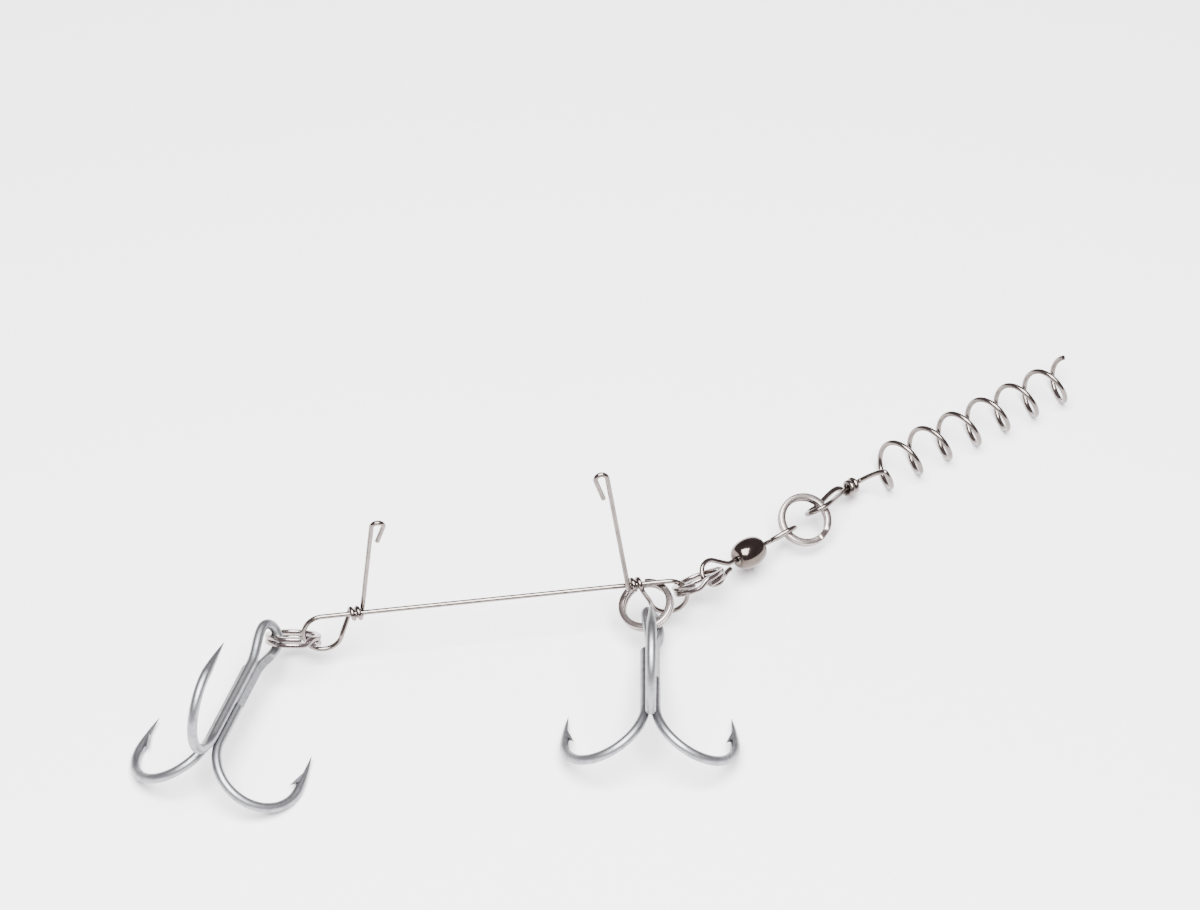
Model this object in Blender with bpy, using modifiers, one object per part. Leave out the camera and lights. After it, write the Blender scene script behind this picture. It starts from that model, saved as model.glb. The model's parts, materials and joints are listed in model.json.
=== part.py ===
"""A two-hook stinger rig for a soft fishing lure, lying as it does on a table.

A bent wire stinger carries a treble hook at each end on a split ring. Its front loop also holds
a split ring, a barrel swivel, a second split ring and the corkscrew that turns into the lure.
The model is in metres with +Z up. The corkscrew's axis lies along +X, and the origin is on the
table under the middle of the rig.

Every link is placed from the piece that holds it, so a changed size moves what hangs from it.
"""

import math

import bmesh
import bpy
from mathutils import Matrix, Vector

# ---- wires ----
STINGER_WIRE = 0.0008
SCREW_WIRE = 0.0009
HOOK_WIRE = 0.0016
SWIVEL_WIRE = 0.00085
LINK_GAP = 0.00008  # between a ring and the wire it hangs on

# ---- stinger ----
SPINE_LENGTH = 0.0488  # between the points of its two loops
SPINE_HEIGHT = 0.00972
LOOP_RADIUS = 0.00315  # centreline of the round end
LOOP_HALF_ANGLE = math.radians(36.5)
REAR_LOOP_LEAN = math.radians(14.6)  # of the loop's plane from the vertical
FRONT_LOOP_LEAN = math.radians(10.6)
WRAP_TURNS = 2
WRAP_GAP = 0.00025  # between one turn and the next
WRAP_STANDOFF = 0.0004  # from the loop's point to the first turn
WRAP_CLEARANCE = 0.00006  # between a turn and the wire inside it
SPIKE_LENGTH = 0.0230  # from the spine's axis to the middle of the small hook
SPIKE_BASE = 0.0012  # where the spike has straightened out of its last turn
SPIKE_HOOK_RADIUS = 0.00095
SPIKE_HOOK_LEG = 0.0040
SPIKE_HOOK_TUCK = 0.0007  # how far the leg's end leans back to the spike

# ---- split rings ----
RING_DIAMETER = 0.00925
RING_BAND = 0.00115  # radial width of the flattened wire
RING_THICKNESS = 0.00085  # of one coil
RING_COIL_GAP = 0.00006
RING_EDGE = 0.00025  # rounding of the wire's corners
RING_JOGGLE = math.radians(30)  # arc in which one coil crosses to the other
RING_END_GAP = math.radians(5)  # between a coil's end and the crossing

# ---- treble hooks ----
BRAZE_JOINT = 0.00013  # between two shanks
BEND_RADIUS = 0.00740
POINT_HEIGHT = 0.00700  # of the point above the bend's centre
POINT_LEAN = 0.00055  # of the point towards the shank
POINT_TAPER = 0.00720  # length over which the wire runs out to the point
POINT_RADIUS = 0.00006
BARB_TIP_HEIGHT = -0.00010  # heights are above the bend's centre
BARB_ROOT_HEIGHT = 0.00140
BARB_TOP_HEIGHT = 0.00360
BARB_REACH = 0.00155  # of the barb's tip from the wire's centreline
BARB_WIDTH = 0.00060
HOOK_EYE_RADIUS = 0.00230  # centreline
HOOK_EYE_HEIGHT = 0.02220
HOOK_NECK_HEIGHT = 0.01550  # where the two shanks begin to part round the eye
SINGLE_SHANK_HEIGHT = 0.01600
FLAT_LOW, FLAT_HIGH = 0.00760, 0.01950  # the pressed flat on the second shank
FLAT_DEPTH = 0.00035
BRAZE_HIGH = 0.01700
BRAZE_CLEARANCE = 0.00003
WEB_FILL = 0.00093  # of the braze's flat web from the shank's axis
FILLET_FILL = 0.00085  # of its other two fillets

# ---- swivel ----
BARREL_DIAMETER, BARREL_LENGTH = 0.00510, 0.00560
BARREL_WALL = 0.00060
BARREL_NOSE = 0.00120  # radius of the flat round each bore
BORE_CLEARANCE = 0.00005
STEM_HEAD_RADIUS, STEM_HEAD_LENGTH = 0.00105, 0.00110
SWIVEL_EYE_RADIUS = 0.00210  # centreline
SWIVEL_EYE_THROAT = 0.00390  # from the eye's centre to where its wires meet
SWIVEL_STEM = 0.00150  # from there to the barrel
SWIVEL_TUCK = 0.00006  # between the wire's end and the stem

# ---- corkscrew ----
COIL_RADIUS = 0.0035  # centreline
COIL_PITCH = 0.0064
COIL_START, COIL_END = -0.30, 6.45  # in turns
COIL_PHASE = math.radians(-20.8)
SCREW_LOOP_RADIUS = 0.00235
SCREW_LOOP_HALF_ANGLE = math.radians(18)
SCREW_WRAP_TURNS = 2.25
COIL_FROM_LOOP = Vector((0.0088, 0.0005, 0))  # the coil's start from the loop's point, but for its height

# ---- how finely a curve is divided ----
ARC_STEPS = 12
RING_STEPS = 26
TURN_STEPS = 14
WIRE_SIDES = 2  # a curve's bevel_resolution, for eight sides

# ---- the way each piece lies, as azimuth and elevation in degrees ----
SPINE_AIM = (-25.9, 0.0)
REAR_RING_NORMAL = (53.0, 51.9)
FRONT_RING_NORMAL = (-168.6, 68.4)
SWIVEL_RING_NORMAL = (89.2, 47.3)
SCREW_RING_NORMAL = (-98.0, 61.4)
REAR_SHANK_AIM = (38.3, 0.0)
FRONT_SHANK_AIM = (55.5, -12.7)
SWIVEL_AIM = (6.7, -6.0)
REAR_EYE_NORMAL = (-76.1, 50.1)
FRONT_EYE_NORMAL = (-87.2, -32.9)
SCREW_LOOP_AIM = (16.1, -12.4)
SCREW_LOOP_NORMAL = (-85.3, -42.1)
REAR_SPIKE_LEAN = Vector((0.098, -0.142, 0.985))  # in the spine's own frame
FRONT_SPIKE_LEAN = Vector((-0.132, 0.161, 0.978))


# ---------------------------------------------------------------- geometry

def aim(azimuth, elevation):
    """The unit vector at this azimuth and elevation, in degrees."""
    turn, rise = math.radians(azimuth), math.radians(elevation)
    return Vector((math.cos(turn) * math.cos(rise), math.sin(turn) * math.cos(rise), math.sin(rise)))


def axes(x_axis, z_axis):
    """A rotation whose Z is z_axis and whose X lies as near x_axis as it can."""
    z = z_axis.normalized()
    x = (x_axis - x_axis.dot(z) * z).normalized()
    return Matrix((x, z.cross(x), z)).transposed()


def ring_axes(normal):
    """A ring's own axes: Z along its normal and X level."""
    return axes(Vector((0, 0, 1)).cross(normal), normal)


def placed(rotation, origin):
    return Matrix.Translation(origin) @ rotation.to_4x4()


def hermite(start, start_pull, end, end_pull, steps):
    """Points between start and end, both left out, on a curve that leaves and arrives by the pulls."""
    points = []
    for i in range(1, steps):
        t = i / steps
        a, b = 2 * t**3 - 3 * t**2 + 1, t**3 - 2 * t**2 + t
        c, d = 3 * t**2 - 2 * t**3, t**3 - t**2
        points.append(a * start + b * start_pull + c * end + d * end_pull)
    return points


def arc(centre, x_axis, y_axis, radius, first, last, steps):
    """Points of an arc from the angle first to last, both ends included."""
    points = []
    for i in range(steps + 1):
        angle = first + (last - first) * i / steps
        points.append(centre + radius * (math.cos(angle) * x_axis + math.sin(angle) * y_axis))
    return points


def helix(start, along, x_axis, y_axis, radius, pitch, turns, first=0.0):
    """Points of a helix round the line from start, from the angle first off x_axis towards y_axis."""
    count = round(turns * TURN_STEPS)
    points = []
    for i in range(count + 1):
        turn = turns * i / count
        angle = first + 2 * math.pi * turn
        spoke = radius * (math.cos(angle) * x_axis + math.sin(angle) * y_axis)
        points.append(start + turn * pitch * along + spoke)
    return points


# ---------------------------------------------------------------- Blender objects

def collection(name):
    made = bpy.data.collections.new(name)
    bpy.context.scene.collection.children.link(made)
    return made


def finish(name, colour, metallic, roughness):
    material = bpy.data.materials.new(name)
    material.use_nodes = True
    shader = material.node_tree.nodes["Principled BSDF"]
    shader.inputs["Base Color"].default_value = (*colour, 1)
    shader.inputs["Metallic"].default_value = metallic
    shader.inputs["Roughness"].default_value = roughness
    return material


def empty(name, matrix, parent=None):
    """A body's frame: its origin is on the hinge it turns about."""
    made = bpy.data.objects.new(name, None)
    made.empty_display_size = 0.003
    PARTS.objects.link(made)
    made.parent = parent
    made.matrix_local = matrix if parent is None else WORLD[parent.name].inverted() @ matrix
    WORLD[name] = matrix
    return made


def put(obj, body, material=None, matrix=None):
    """Hangs an object on a body's frame, at that frame's origin unless matrix says otherwise."""
    obj.parent = body
    obj.matrix_local = matrix or Matrix.Identity(4)
    if material:
        obj.data.materials.append(material)
    return obj


def helper(obj, body, matrix=None):
    """Makes an object a cutter or a shape to be joined, which isn't a part itself."""
    obj.hide_render = True
    obj.display_type = "WIRE"
    return put(obj, body, None, matrix)


def wire(name, points, diameter, cyclic=False, thickness=None, home=None):
    """A round wire through the points. thickness gives each point's share of the diameter."""
    data = bpy.data.curves.new(name, "CURVE")
    data.dimensions = "3D"
    data.bevel_depth = diameter / 2
    data.bevel_resolution = WIRE_SIDES
    data.use_fill_caps = True
    spline = data.splines.new("POLY")
    spline.points.add(len(points) - 1)
    for i, point in enumerate(points):
        spline.points[i].co = (*point, 1)
        spline.points[i].radius = thickness[i] if thickness else 1.0
    spline.use_cyclic_u = cyclic
    spline.use_smooth = True
    obj = bpy.data.objects.new(name, data)
    (home or PARTS).objects.link(obj)
    return obj


def slab(name, outline, thickness):
    """A flat helper of this outline in its own XY plane, centred on it."""
    data = bpy.data.curves.new(name, "CURVE")
    data.dimensions = "2D"
    data.fill_mode = "BOTH"
    data.extrude = thickness / 2
    spline = data.splines.new("POLY")
    spline.points.add(len(outline) - 1)
    for i, (x, y) in enumerate(outline):
        spline.points[i].co = (x, y, 0, 1)
    spline.use_cyclic_u = True
    obj = bpy.data.objects.new(name, data)
    HELPERS.objects.link(obj)
    return as_mesh(obj)


def as_mesh(obj):
    """Turns a curve object into a welded mesh object in its place."""
    bpy.context.view_layer.update()
    graph = bpy.context.evaluated_depsgraph_get()
    data = bpy.data.meshes.new_from_object(obj.evaluated_get(graph))
    work = bmesh.new()
    work.from_mesh(data)
    bmesh.ops.remove_doubles(work, verts=work.verts, dist=1e-7)
    bmesh.ops.recalc_face_normals(work, faces=work.faces)
    work.to_mesh(data)
    work.free()
    name, home = obj.name, obj.users_collection[0]
    bpy.data.objects.remove(obj)
    data.name = name
    made = bpy.data.objects.new(name, data)
    home.objects.link(made)
    return made


def cylinder(name, radius, depth, sides):
    """A helper cylinder along Z, centred on the origin."""
    bpy.ops.mesh.primitive_cylinder_add(vertices=sides, radius=radius, depth=depth)
    obj = bpy.context.object
    obj.name = name
    for home in obj.users_collection:
        home.objects.unlink(obj)
    HELPERS.objects.link(obj)
    return obj


def combine(obj, operation, other):
    step = obj.modifiers.new(f"{operation.lower()} {other.name}", "BOOLEAN")
    step.operation = operation
    step.object = other
    step.solver = "EXACT"


def smooth(obj):
    obj.data.shade_smooth()
    obj.data.set_sharp_from_angle(angle=math.radians(40))


# ---------------------------------------------------------------- split rings

RING_MEAN = (RING_DIAMETER - RING_BAND) / 2
COIL_OFFSET = (RING_THICKNESS + RING_COIL_GAP) / 2
RING_HOLD = RING_MEAN - RING_BAND / 2 - LINK_GAP  # from the ring's centre to the wire that it hangs on


def ring_section():
    """The flattened wire's section: a rectangle with its corners taken off."""
    x, y = RING_BAND / 2, RING_THICKNESS / 2
    outline = []
    for sx, sy in ((1, 1), (1, -1), (-1, -1), (-1, 1)):
        corner = [(sx * (x - RING_EDGE), sy * y), (sx * x, sy * (y - RING_EDGE))]
        outline += corner if sx == sy else corner[::-1]
    data = bpy.data.curves.new("ring_section", "CURVE")
    data.dimensions = "2D"
    spline = data.splines.new("POLY")
    spline.points.add(len(outline) - 1)
    for i, (px, py) in enumerate(outline):
        spline.points[i].co = (px, py, 0, 1)
    spline.use_cyclic_u = True
    obj = bpy.data.objects.new("ring_section", data)
    HELPERS.objects.link(obj)
    obj.hide_render = True
    return obj


def split_ring(name, body, centre_in_body, split_angle, material):
    """Two flat coils of one wire: the first crosses to the second in the joggle."""
    first_coil = 2 * math.pi - RING_JOGGLE
    whole = first_coil + RING_JOGGLE + first_coil - RING_END_GAP
    steps = round(whole / (2 * math.pi) * RING_STEPS)
    points = []
    for i in range(steps + 1):
        turn = whole * i / steps
        rise = min(1, max(0, (turn - first_coil) / RING_JOGGLE))
        height = COIL_OFFSET * (2 * rise * rise * (3 - 2 * rise) - 1)
        angle = split_angle + turn
        points.append(Vector((RING_MEAN * math.cos(angle), RING_MEAN * math.sin(angle), height)))
    obj = wire(name, points, 0)
    obj.data.bevel_mode = "OBJECT"
    obj.data.bevel_object = RING_SECTION
    obj.data.twist_mode = "Z_UP"
    return put(obj, body, material, centre_in_body)


class Ring:
    """A split ring that hangs on a wire at one place and holds the next piece at another."""

    def __init__(self, normal, hook_point, hook_angle, hold):
        self.axes = ring_axes(aim(*normal))
        spoke = self.spoke(hook_angle)
        self.centre = hook_point - hold * spoke
        self.hinge = hook_point

    def spoke(self, angle):
        turn = math.radians(angle)
        return self.axes @ Vector((math.cos(turn), math.sin(turn), 0))

    def band(self, angle):
        """The middle of the ring's band at this angle."""
        return self.centre + RING_MEAN * self.spoke(angle)

    def tangent(self, angle):
        return self.spoke(angle + 90)

    def build(self, name, parent, split_angle):
        body = empty(f"{name}_hinge", placed(self.axes, self.hinge), parent)
        shift = self.axes.inverted() @ (self.centre - self.hinge)
        split_ring(name, body, Matrix.Translation(shift), math.radians(split_angle), BRIGHT)
        return body


# ---------------------------------------------------------------- treble hooks

SHANK_SPACING = HOOK_WIRE + BRAZE_JOINT
SHANK_OFFSET = SHANK_SPACING / math.sqrt(3)  # of each of the three shanks from their common axis
EYE_OFFSET = SHANK_OFFSET / 2  # of the eye's plane from that axis
SECOND_HOOK, SINGLE_HOOK = 120, -120  # azimuths round the shank; the first hook is at 0
EYE_WAY = -30  # azimuth from the eye's middle to its first wire
WEB_WAY = 60  # azimuth that the eye's flat side and the braze's web face


def round_shank(azimuth, radius, height):
    turn = math.radians(azimuth)
    return Vector((radius * math.cos(turn), radius * math.sin(turn), height))


def eye_place(across, height):
    """A place in the eye's plane, across from its middle towards its first wire."""
    return round_shank(EYE_WAY, across, height) + round_shank(WEB_WAY, EYE_OFFSET, 0)


def hook_arm(azimuth, shank_top):
    """(points, thickness) of one hook, from the top of its shank to its point."""
    outline, thickness = [(SHANK_OFFSET, shank_top)], [1.0]
    for i in range(ARC_STEPS + 1):
        turn = math.pi + math.pi * i / ARC_STEPS
        outline.append((SHANK_OFFSET + BEND_RADIUS * (1 + math.cos(turn)), BEND_RADIUS * math.sin(turn)))
        thickness.append(1.0)
    foot = SHANK_OFFSET + 2 * BEND_RADIUS
    steps = 5
    low = POINT_HEIGHT - POINT_TAPER
    for i in range(1, steps + 1):
        share = i / steps
        height = low + (POINT_HEIGHT - low) * share
        outline.append((foot - POINT_LEAN * share**2, height))
        thickness.append(1 - (1 - 2 * POINT_RADIUS / HOOK_WIRE) * share**1.25)
    return [round_shank(azimuth, r, z) for r, z in outline], thickness


def barb(name, azimuth, body, shift):
    """The cut that stands up on the inside of the point."""
    foot = SHANK_OFFSET + 2 * BEND_RADIUS
    outline = [
        (foot - BARB_REACH, BARB_TIP_HEIGHT),
        (foot - 0.15 * HOOK_WIRE, BARB_ROOT_HEIGHT),
        (foot - 0.15 * HOOK_WIRE, BARB_TOP_HEIGHT),
        (foot - 0.45 * HOOK_WIRE, BARB_TOP_HEIGHT * 0.80),
    ]
    wedge = slab(f"{name}_barb", outline, BARB_WIDTH)
    radial, up = round_shank(azimuth, 1, 0), Vector((0, 0, 1))
    stood = Matrix((radial, up, radial.cross(up))).transposed()
    return helper(wedge, body, shift @ stood.to_4x4())


def eye_wire():
    """Points from the first shank round the eye to the second."""
    waist = SHANK_SPACING / 2
    leg, steps = [], 5
    for i in range(1, steps):
        share = i / steps
        across = waist + (HOOK_EYE_RADIUS - waist) * share**2 * (3 - 2 * share)
        leg.append((across, HOOK_NECK_HEIGHT + (HOOK_EYE_HEIGHT - HOOK_NECK_HEIGHT) * share))
    crown = []
    for i in range(ARC_STEPS + 1):
        turn = math.pi * i / ARC_STEPS
        crown.append((HOOK_EYE_RADIUS * math.cos(turn), HOOK_EYE_HEIGHT + HOOK_EYE_RADIUS * math.sin(turn)))
    outline = leg + crown + [(-across, height) for across, height in leg[::-1]]
    return [eye_place(across, height) for across, height in outline]


def braze(name, body, shift):
    """The filler between the three shanks: a flat web on the eye's side and a fillet on each other."""
    outline = []
    for azimuth, fill in ((0, 0), (WEB_WAY, WEB_FILL), (120, 0), (180, FILLET_FILL), (240, 0), (300, FILLET_FILL)):
        if fill:
            lip = 0.2 * HOOK_WIRE
            middle, side = round_shank(azimuth, fill, 0), round_shank(azimuth + 90, lip, 0)
            corners = (middle - side, middle + side)
        else:
            corners = (round_shank(azimuth, SHANK_OFFSET, 0),)
        outline += [(corner.x, corner.y) for corner in corners]
    length = BRAZE_HIGH - FLAT_LOW
    filler = slab(name, outline, length)
    PARTS.objects.link(filler)
    HELPERS.objects.unlink(filler)
    middle = Matrix.Translation((0, 0, (BRAZE_HIGH + FLAT_LOW) / 2))
    put(filler, body, HOOK_FINISH, shift @ middle)
    for azimuth in (0, SECOND_HOOK, SINGLE_HOOK):
        shank = cylinder(f"{name}_shank_{azimuth % 360}", HOOK_WIRE / 2 + BRAZE_CLEARANCE, 2 * length, 24)
        helper(shank, body, shift @ middle @ Matrix.Translation(round_shank(azimuth, SHANK_OFFSET, 0)))
        combine(filler, "DIFFERENCE", shank)
    smooth(filler)


def treble(prefix, parent, hinge, hinge_axis, shank_aim, eye_pass):
    """A double hook with its eye, a single hook and the braze that joins them.

    The ring's band is at hinge, and passes through the eye at eye_pass: across it and up it.
    """
    along = aim(*shank_aim)
    side = along.cross(Vector((0, 0, 1))).normalized()
    shank = Matrix((side.cross(along), side, along)).transposed()
    body = empty(f"{prefix}_treble_hinge", placed(shank, hinge), parent)
    body["hinge_axis"] = hinge_axis
    shift = Matrix.Translation(-eye_place(*eye_pass))

    first, thick = hook_arm(0, HOOK_NECK_HEIGHT)
    second, _ = hook_arm(SECOND_HOOK, HOOK_NECK_HEIGHT)
    eye = eye_wire()
    path = first[::-1] + eye + second
    double = as_mesh(wire(f"{prefix}_double_hook", path, HOOK_WIRE, thickness=thick[::-1] + [1.0] * len(eye) + thick))
    put(double, body, HOOK_FINISH, shift)
    for azimuth in (0, SECOND_HOOK):
        combine(double, "UNION", barb(f"{prefix}_{azimuth}", azimuth, body, shift))
    high = EYE_OFFSET + HOOK_WIRE / 2
    flat = slab(
        f"{prefix}_flat",
        [(-0.003, high - FLAT_DEPTH), (-0.0001, high - FLAT_DEPTH), (-0.0001, 2 * high), (-0.003, 2 * high)],
        FLAT_HIGH - FLAT_LOW,
    )
    faced = Matrix.Rotation(math.radians(EYE_WAY), 4, "Z") @ Matrix.Translation((0, 0, (FLAT_HIGH + FLAT_LOW) / 2))
    combine(double, "DIFFERENCE", helper(flat, body, shift @ faced))
    smooth(double)

    path, thick = hook_arm(SINGLE_HOOK, SINGLE_SHANK_HEIGHT)
    single = as_mesh(wire(f"{prefix}_single_hook", path, HOOK_WIRE, thickness=thick))
    put(single, body, HOOK_FINISH, shift)
    combine(single, "UNION", barb(f"{prefix}_single", SINGLE_HOOK, body, shift))
    smooth(single)
    braze(f"{prefix}_braze", body, shift)


# ---------------------------------------------------------------- stinger

class Loop:
    """A drop-shaped loop whose one side runs on along a straight wire, from its point outwards."""

    def __init__(self, point, out, belly, radius, half_angle):
        self.point, self.out, self.belly = point, out, belly
        self.radius, self.reach = radius, radius / math.tan(half_angle)
        self.centre = point + self.reach * out + radius * belly
        self.back = math.cos(2 * half_angle) * out + math.sin(2 * half_angle) * belly

    def on_round(self, angle):
        """A place on the round end: 90 degrees is where the straight wire meets it."""
        turn = math.radians(angle)
        return self.centre + self.radius * (math.cos(turn) * self.out - math.sin(turn) * self.belly)

    def round_end(self, steps):
        meet = self.point + self.reach * self.back - self.centre
        last = math.atan2(-meet.dot(self.belly), meet.dot(self.out))
        last -= 2 * math.pi if last > math.pi / 2 else 0
        return arc(self.centre, self.out, -self.belly, self.radius, math.pi / 2, last, steps)

    def on_return(self, share):
        """A place on the side that comes back, at this share of its length from the point."""
        return self.point + share * self.reach * self.back


def wraps(start, along, x_axis, y_axis, diameter, turns):
    """A tail's turns round the straight wire that runs from start."""
    begin = start + WRAP_STANDOFF * along
    return helix(begin, along, x_axis, y_axis, diameter + WRAP_CLEARANCE, diameter + WRAP_GAP, turns)


def loop_with_tail(loop, turned):
    """Points from the loop's straight side round it and along its tail's turns."""
    end = loop.round_end(ARC_STEPS)
    pull = 0.9 * loop.reach
    strand = hermite(end[-1], -pull * loop.back, turned[0], pull * (turned[1] - turned[0]).normalized(), 7)
    return end + strand + turned


def spike(foot, leaving, lean, hook_way):
    """Points of a spike and the small hook at its top, from the last turn's end."""
    up = lean.normalized()
    straight = foot + SPIKE_BASE * up
    top = foot + SPIKE_LENGTH * up
    points = hermite(foot, SPIKE_BASE * leaving, straight, SPIKE_BASE * up, 4) + [straight]
    across = (hook_way - hook_way.dot(up) * up).normalized()
    points += arc(top + SPIKE_HOOK_RADIUS * across, -across, up, SPIKE_HOOK_RADIUS, 0, math.pi, 8)
    points.append(points[-1] - SPIKE_HOOK_LEG * up - SPIKE_HOOK_TUCK * across)
    return points


def stinger_loops():
    """The rear and the front loop, in the stinger's own frame: X runs forward along the spine."""
    def belly(lean):
        return Vector((0, -math.sin(lean), -math.cos(lean)))

    forward = Vector((1, 0, 0))
    rear = Loop(Vector((0, 0, 0)), -forward, belly(REAR_LOOP_LEAN), LOOP_RADIUS, LOOP_HALF_ANGLE)
    front = Loop(SPINE_LENGTH * forward, forward, belly(FRONT_LOOP_LEAN), LOOP_RADIUS, LOOP_HALF_ANGLE)
    return rear, front


def stinger(body):
    """One wire: a spike, its turns, the rear loop, the spine, the front loop, its turns and a spike."""
    rear, front = stinger_loops()
    forward = Vector((1, 0, 0))
    ends = []
    for loop, side, lean, hook_way in (
        (rear, forward.cross(rear.belly), REAR_SPIKE_LEAN, forward),
        (front, front.belly.cross(forward), FRONT_SPIKE_LEAN, -forward),
    ):
        turned = wraps(loop.point, -loop.out, side, -loop.belly, STINGER_WIRE, WRAP_TURNS)
        points = loop_with_tail(loop, turned)
        leaving = (points[-1] - points[-2]).normalized()
        ends.append(points + spike(points[-1], leaving, lean, hook_way))
    return put(wire("stinger_wire", ends[0][::-1] + ends[1], STINGER_WIRE), body, BRIGHT)


# ---------------------------------------------------------------- swivel

SWIVEL_HALF = SWIVEL_EYE_THROAT + SWIVEL_STEM + BARREL_LENGTH / 2  # from the barrel's middle to an eye's


def swivel_eye(name, body, matrix):
    """An eye of bent wire on a headed stem. Its centre is the origin, and its stem runs along +X."""
    radius = SWIVEL_EYE_RADIUS
    neck = SWIVEL_EYE_THROAT
    head_near = SWIVEL_HALF - BARREL_LENGTH / 2 + BARREL_WALL + BORE_CLEARANCE
    x, y = Vector((1, 0, 0)), Vector((0, 1, 0))
    path = [(head_near + STEM_HEAD_LENGTH / 2) * x, (neck + SWIVEL_STEM / 2) * x]
    open_angle = math.radians(55)
    crown = arc(Vector((0, 0, 0)), x, y, radius, open_angle, 2 * math.pi - open_angle, 2 * ARC_STEPS)
    pull = 1.4 * radius
    leaving = Vector((math.sin(open_angle), -math.cos(open_angle), 0))
    path += [neck * x] + hermite(neck * x, -0.8 * radius * x, crown[0], -pull * leaving, 5) + crown
    tail = (neck - 0.0003) * x - (SWIVEL_WIRE + SWIVEL_TUCK) * y
    path += hermite(crown[-1], pull * Vector((leaving.x, -leaving.y, 0)), tail, 0.8 * radius * x, 5) + [tail]
    eye = as_mesh(wire(name, path, SWIVEL_WIRE))
    put(eye, body, BRIGHT, matrix)
    head = cylinder(f"{name}_head", STEM_HEAD_RADIUS, STEM_HEAD_LENGTH, 16)
    lying = Matrix.Translation((head_near + STEM_HEAD_LENGTH / 2, 0, 0)) @ Matrix.Rotation(math.pi / 2, 4, "Y")
    combine(eye, "UNION", helper(head, body, matrix @ lying))
    smooth(eye)


def barrel(body):
    """A hollow barrel turned about Z, with a bore in each end for an eye's stem."""
    bore = SWIVEL_WIRE / 2 + BORE_CLEARANCE
    half, wall = BARREL_LENGTH / 2, BARREL_WALL
    bulge = BARREL_DIAMETER / 2
    outside = [(BARREL_NOSE, half)]
    for i in range(1, 8):
        height = half - BARREL_LENGTH * i / 8
        outside.append((BARREL_NOSE + (bulge - BARREL_NOSE) * math.sqrt(1 - (height / half) ** 2), height))
    outside.append((BARREL_NOSE, -half))
    cavity = half - wall
    hollow = min(bulge - wall, STEM_HEAD_RADIUS + 2 * BORE_CLEARANCE + 0.0002)
    inside = [(bore, -half), (bore, -cavity), (hollow, -cavity), (hollow, cavity), (bore, cavity), (bore, half)]
    profile = outside + inside
    data = bpy.data.meshes.new("swivel_barrel")
    count = len(profile)
    data.from_pydata([(r, 0, z) for r, z in profile], [(i, (i + 1) % count) for i in range(count)], [])
    obj = bpy.data.objects.new("swivel_barrel", data)
    PARTS.objects.link(obj)
    turned = obj.modifiers.new("turned", "SCREW")
    turned.axis = "Z"
    turned.steps = turned.render_steps = 24
    turned.use_merge_vertices = True
    turned.merge_threshold = 1e-6
    turned.use_smooth_shade = True
    return put(obj, body, BLACK_NICKEL)


# ---------------------------------------------------------------- corkscrew

class Corkscrew:
    """The loop, its wrapped tail and the coil, placed by where a ring passes through the loop."""

    def __init__(self, held_at):
        self.held_at = held_at
        self.along = aim(*SCREW_LOOP_AIM)
        normal = aim(*SCREW_LOOP_NORMAL)
        self.side = normal.cross(self.along).normalized()
        self.normal = self.along.cross(self.side)
        far = SCREW_LOOP_RADIUS / math.sin(SCREW_LOOP_HALF_ANGLE) + SCREW_LOOP_RADIUS
        room = SCREW_WIRE / 2 + RING_BAND / 2 + LINK_GAP
        self.point = held_at + (far - room - SCREW_LOOP_SLACK) * self.along - SCREW_LOOP_ACROSS * self.side

    def path(self):
        half = SCREW_LOOP_HALF_ANGLE
        out = -math.cos(half) * self.along + math.sin(half) * self.side
        belly = -math.sin(half) * self.along - math.cos(half) * self.side
        loop = Loop(self.point, out, belly, SCREW_LOOP_RADIUS, half)
        turned = wraps(self.point, self.along, -self.side, self.normal, SCREW_WIRE, SCREW_WRAP_TURNS)
        tail = loop_with_tail(loop, turned)[::-1]
        clear = self.point + (WRAP_STANDOFF + SCREW_WRAP_TURNS * (SCREW_WIRE + WRAP_GAP) + SCREW_WIRE) * self.along
        straight = hermite(tail[-1], -0.8 * loop.reach * out, self.point, 0.5 * loop.reach * self.along, 4)
        coil = self.coil()
        leaving = (coil[1] - coil[0]).normalized()
        rise = hermite(clear, COIL_RADIUS * self.along, coil[0], 0.8 * COIL_RADIUS * leaving, 7)
        return tail + straight + [self.point, clear] + rise + coil

    def coil(self):
        """A right-handed coil along +X that lies on the table."""
        start = self.point + COIL_FROM_LOOP
        start.z = COIL_RADIUS + SCREW_WIRE / 2
        turns = COIL_END - COIL_START
        count = round(turns * TURN_STEPS)
        points = []
        for i in range(count + 1):
            turn = COIL_START + turns * i / count
            angle = 2 * math.pi * turn + COIL_PHASE
            spoke = COIL_RADIUS * Vector((0, math.sin(angle), -math.cos(angle)))
            points.append(start + Vector((turn * COIL_PITCH, 0, 0)) + spoke)
        return points


# ---------------------------------------------------------------- links

REAR_EYE_PASS = (-0.00035, 0.0221)  # where a ring's band passes a hook's eye: across it and up it
FRONT_EYE_PASS = (0.00025, 0.0214)
REAR_RING_SLACK = 0.00059  # of a ring on the wire that it hangs on
FRONT_RING_SLACK = 0.00127
SWIVEL_RING_SLACK = 0.00044
SCREW_RING_SLACK = 0.00035
SWIVEL_EYE_SLACK = 0.0004  # of the swivel's eye on its ring
SCREW_LOOP_SLACK, SCREW_LOOP_ACROSS = 0.0016, 0.0003


def eye_centre(band, outward):
    """The middle of a swivel eye that a ring's band at this place pulls outward."""
    room = SWIVEL_EYE_RADIUS - SWIVEL_WIRE / 2 - RING_BAND / 2 - LINK_GAP - SWIVEL_EYE_SLACK
    return band - room * outward


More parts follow.
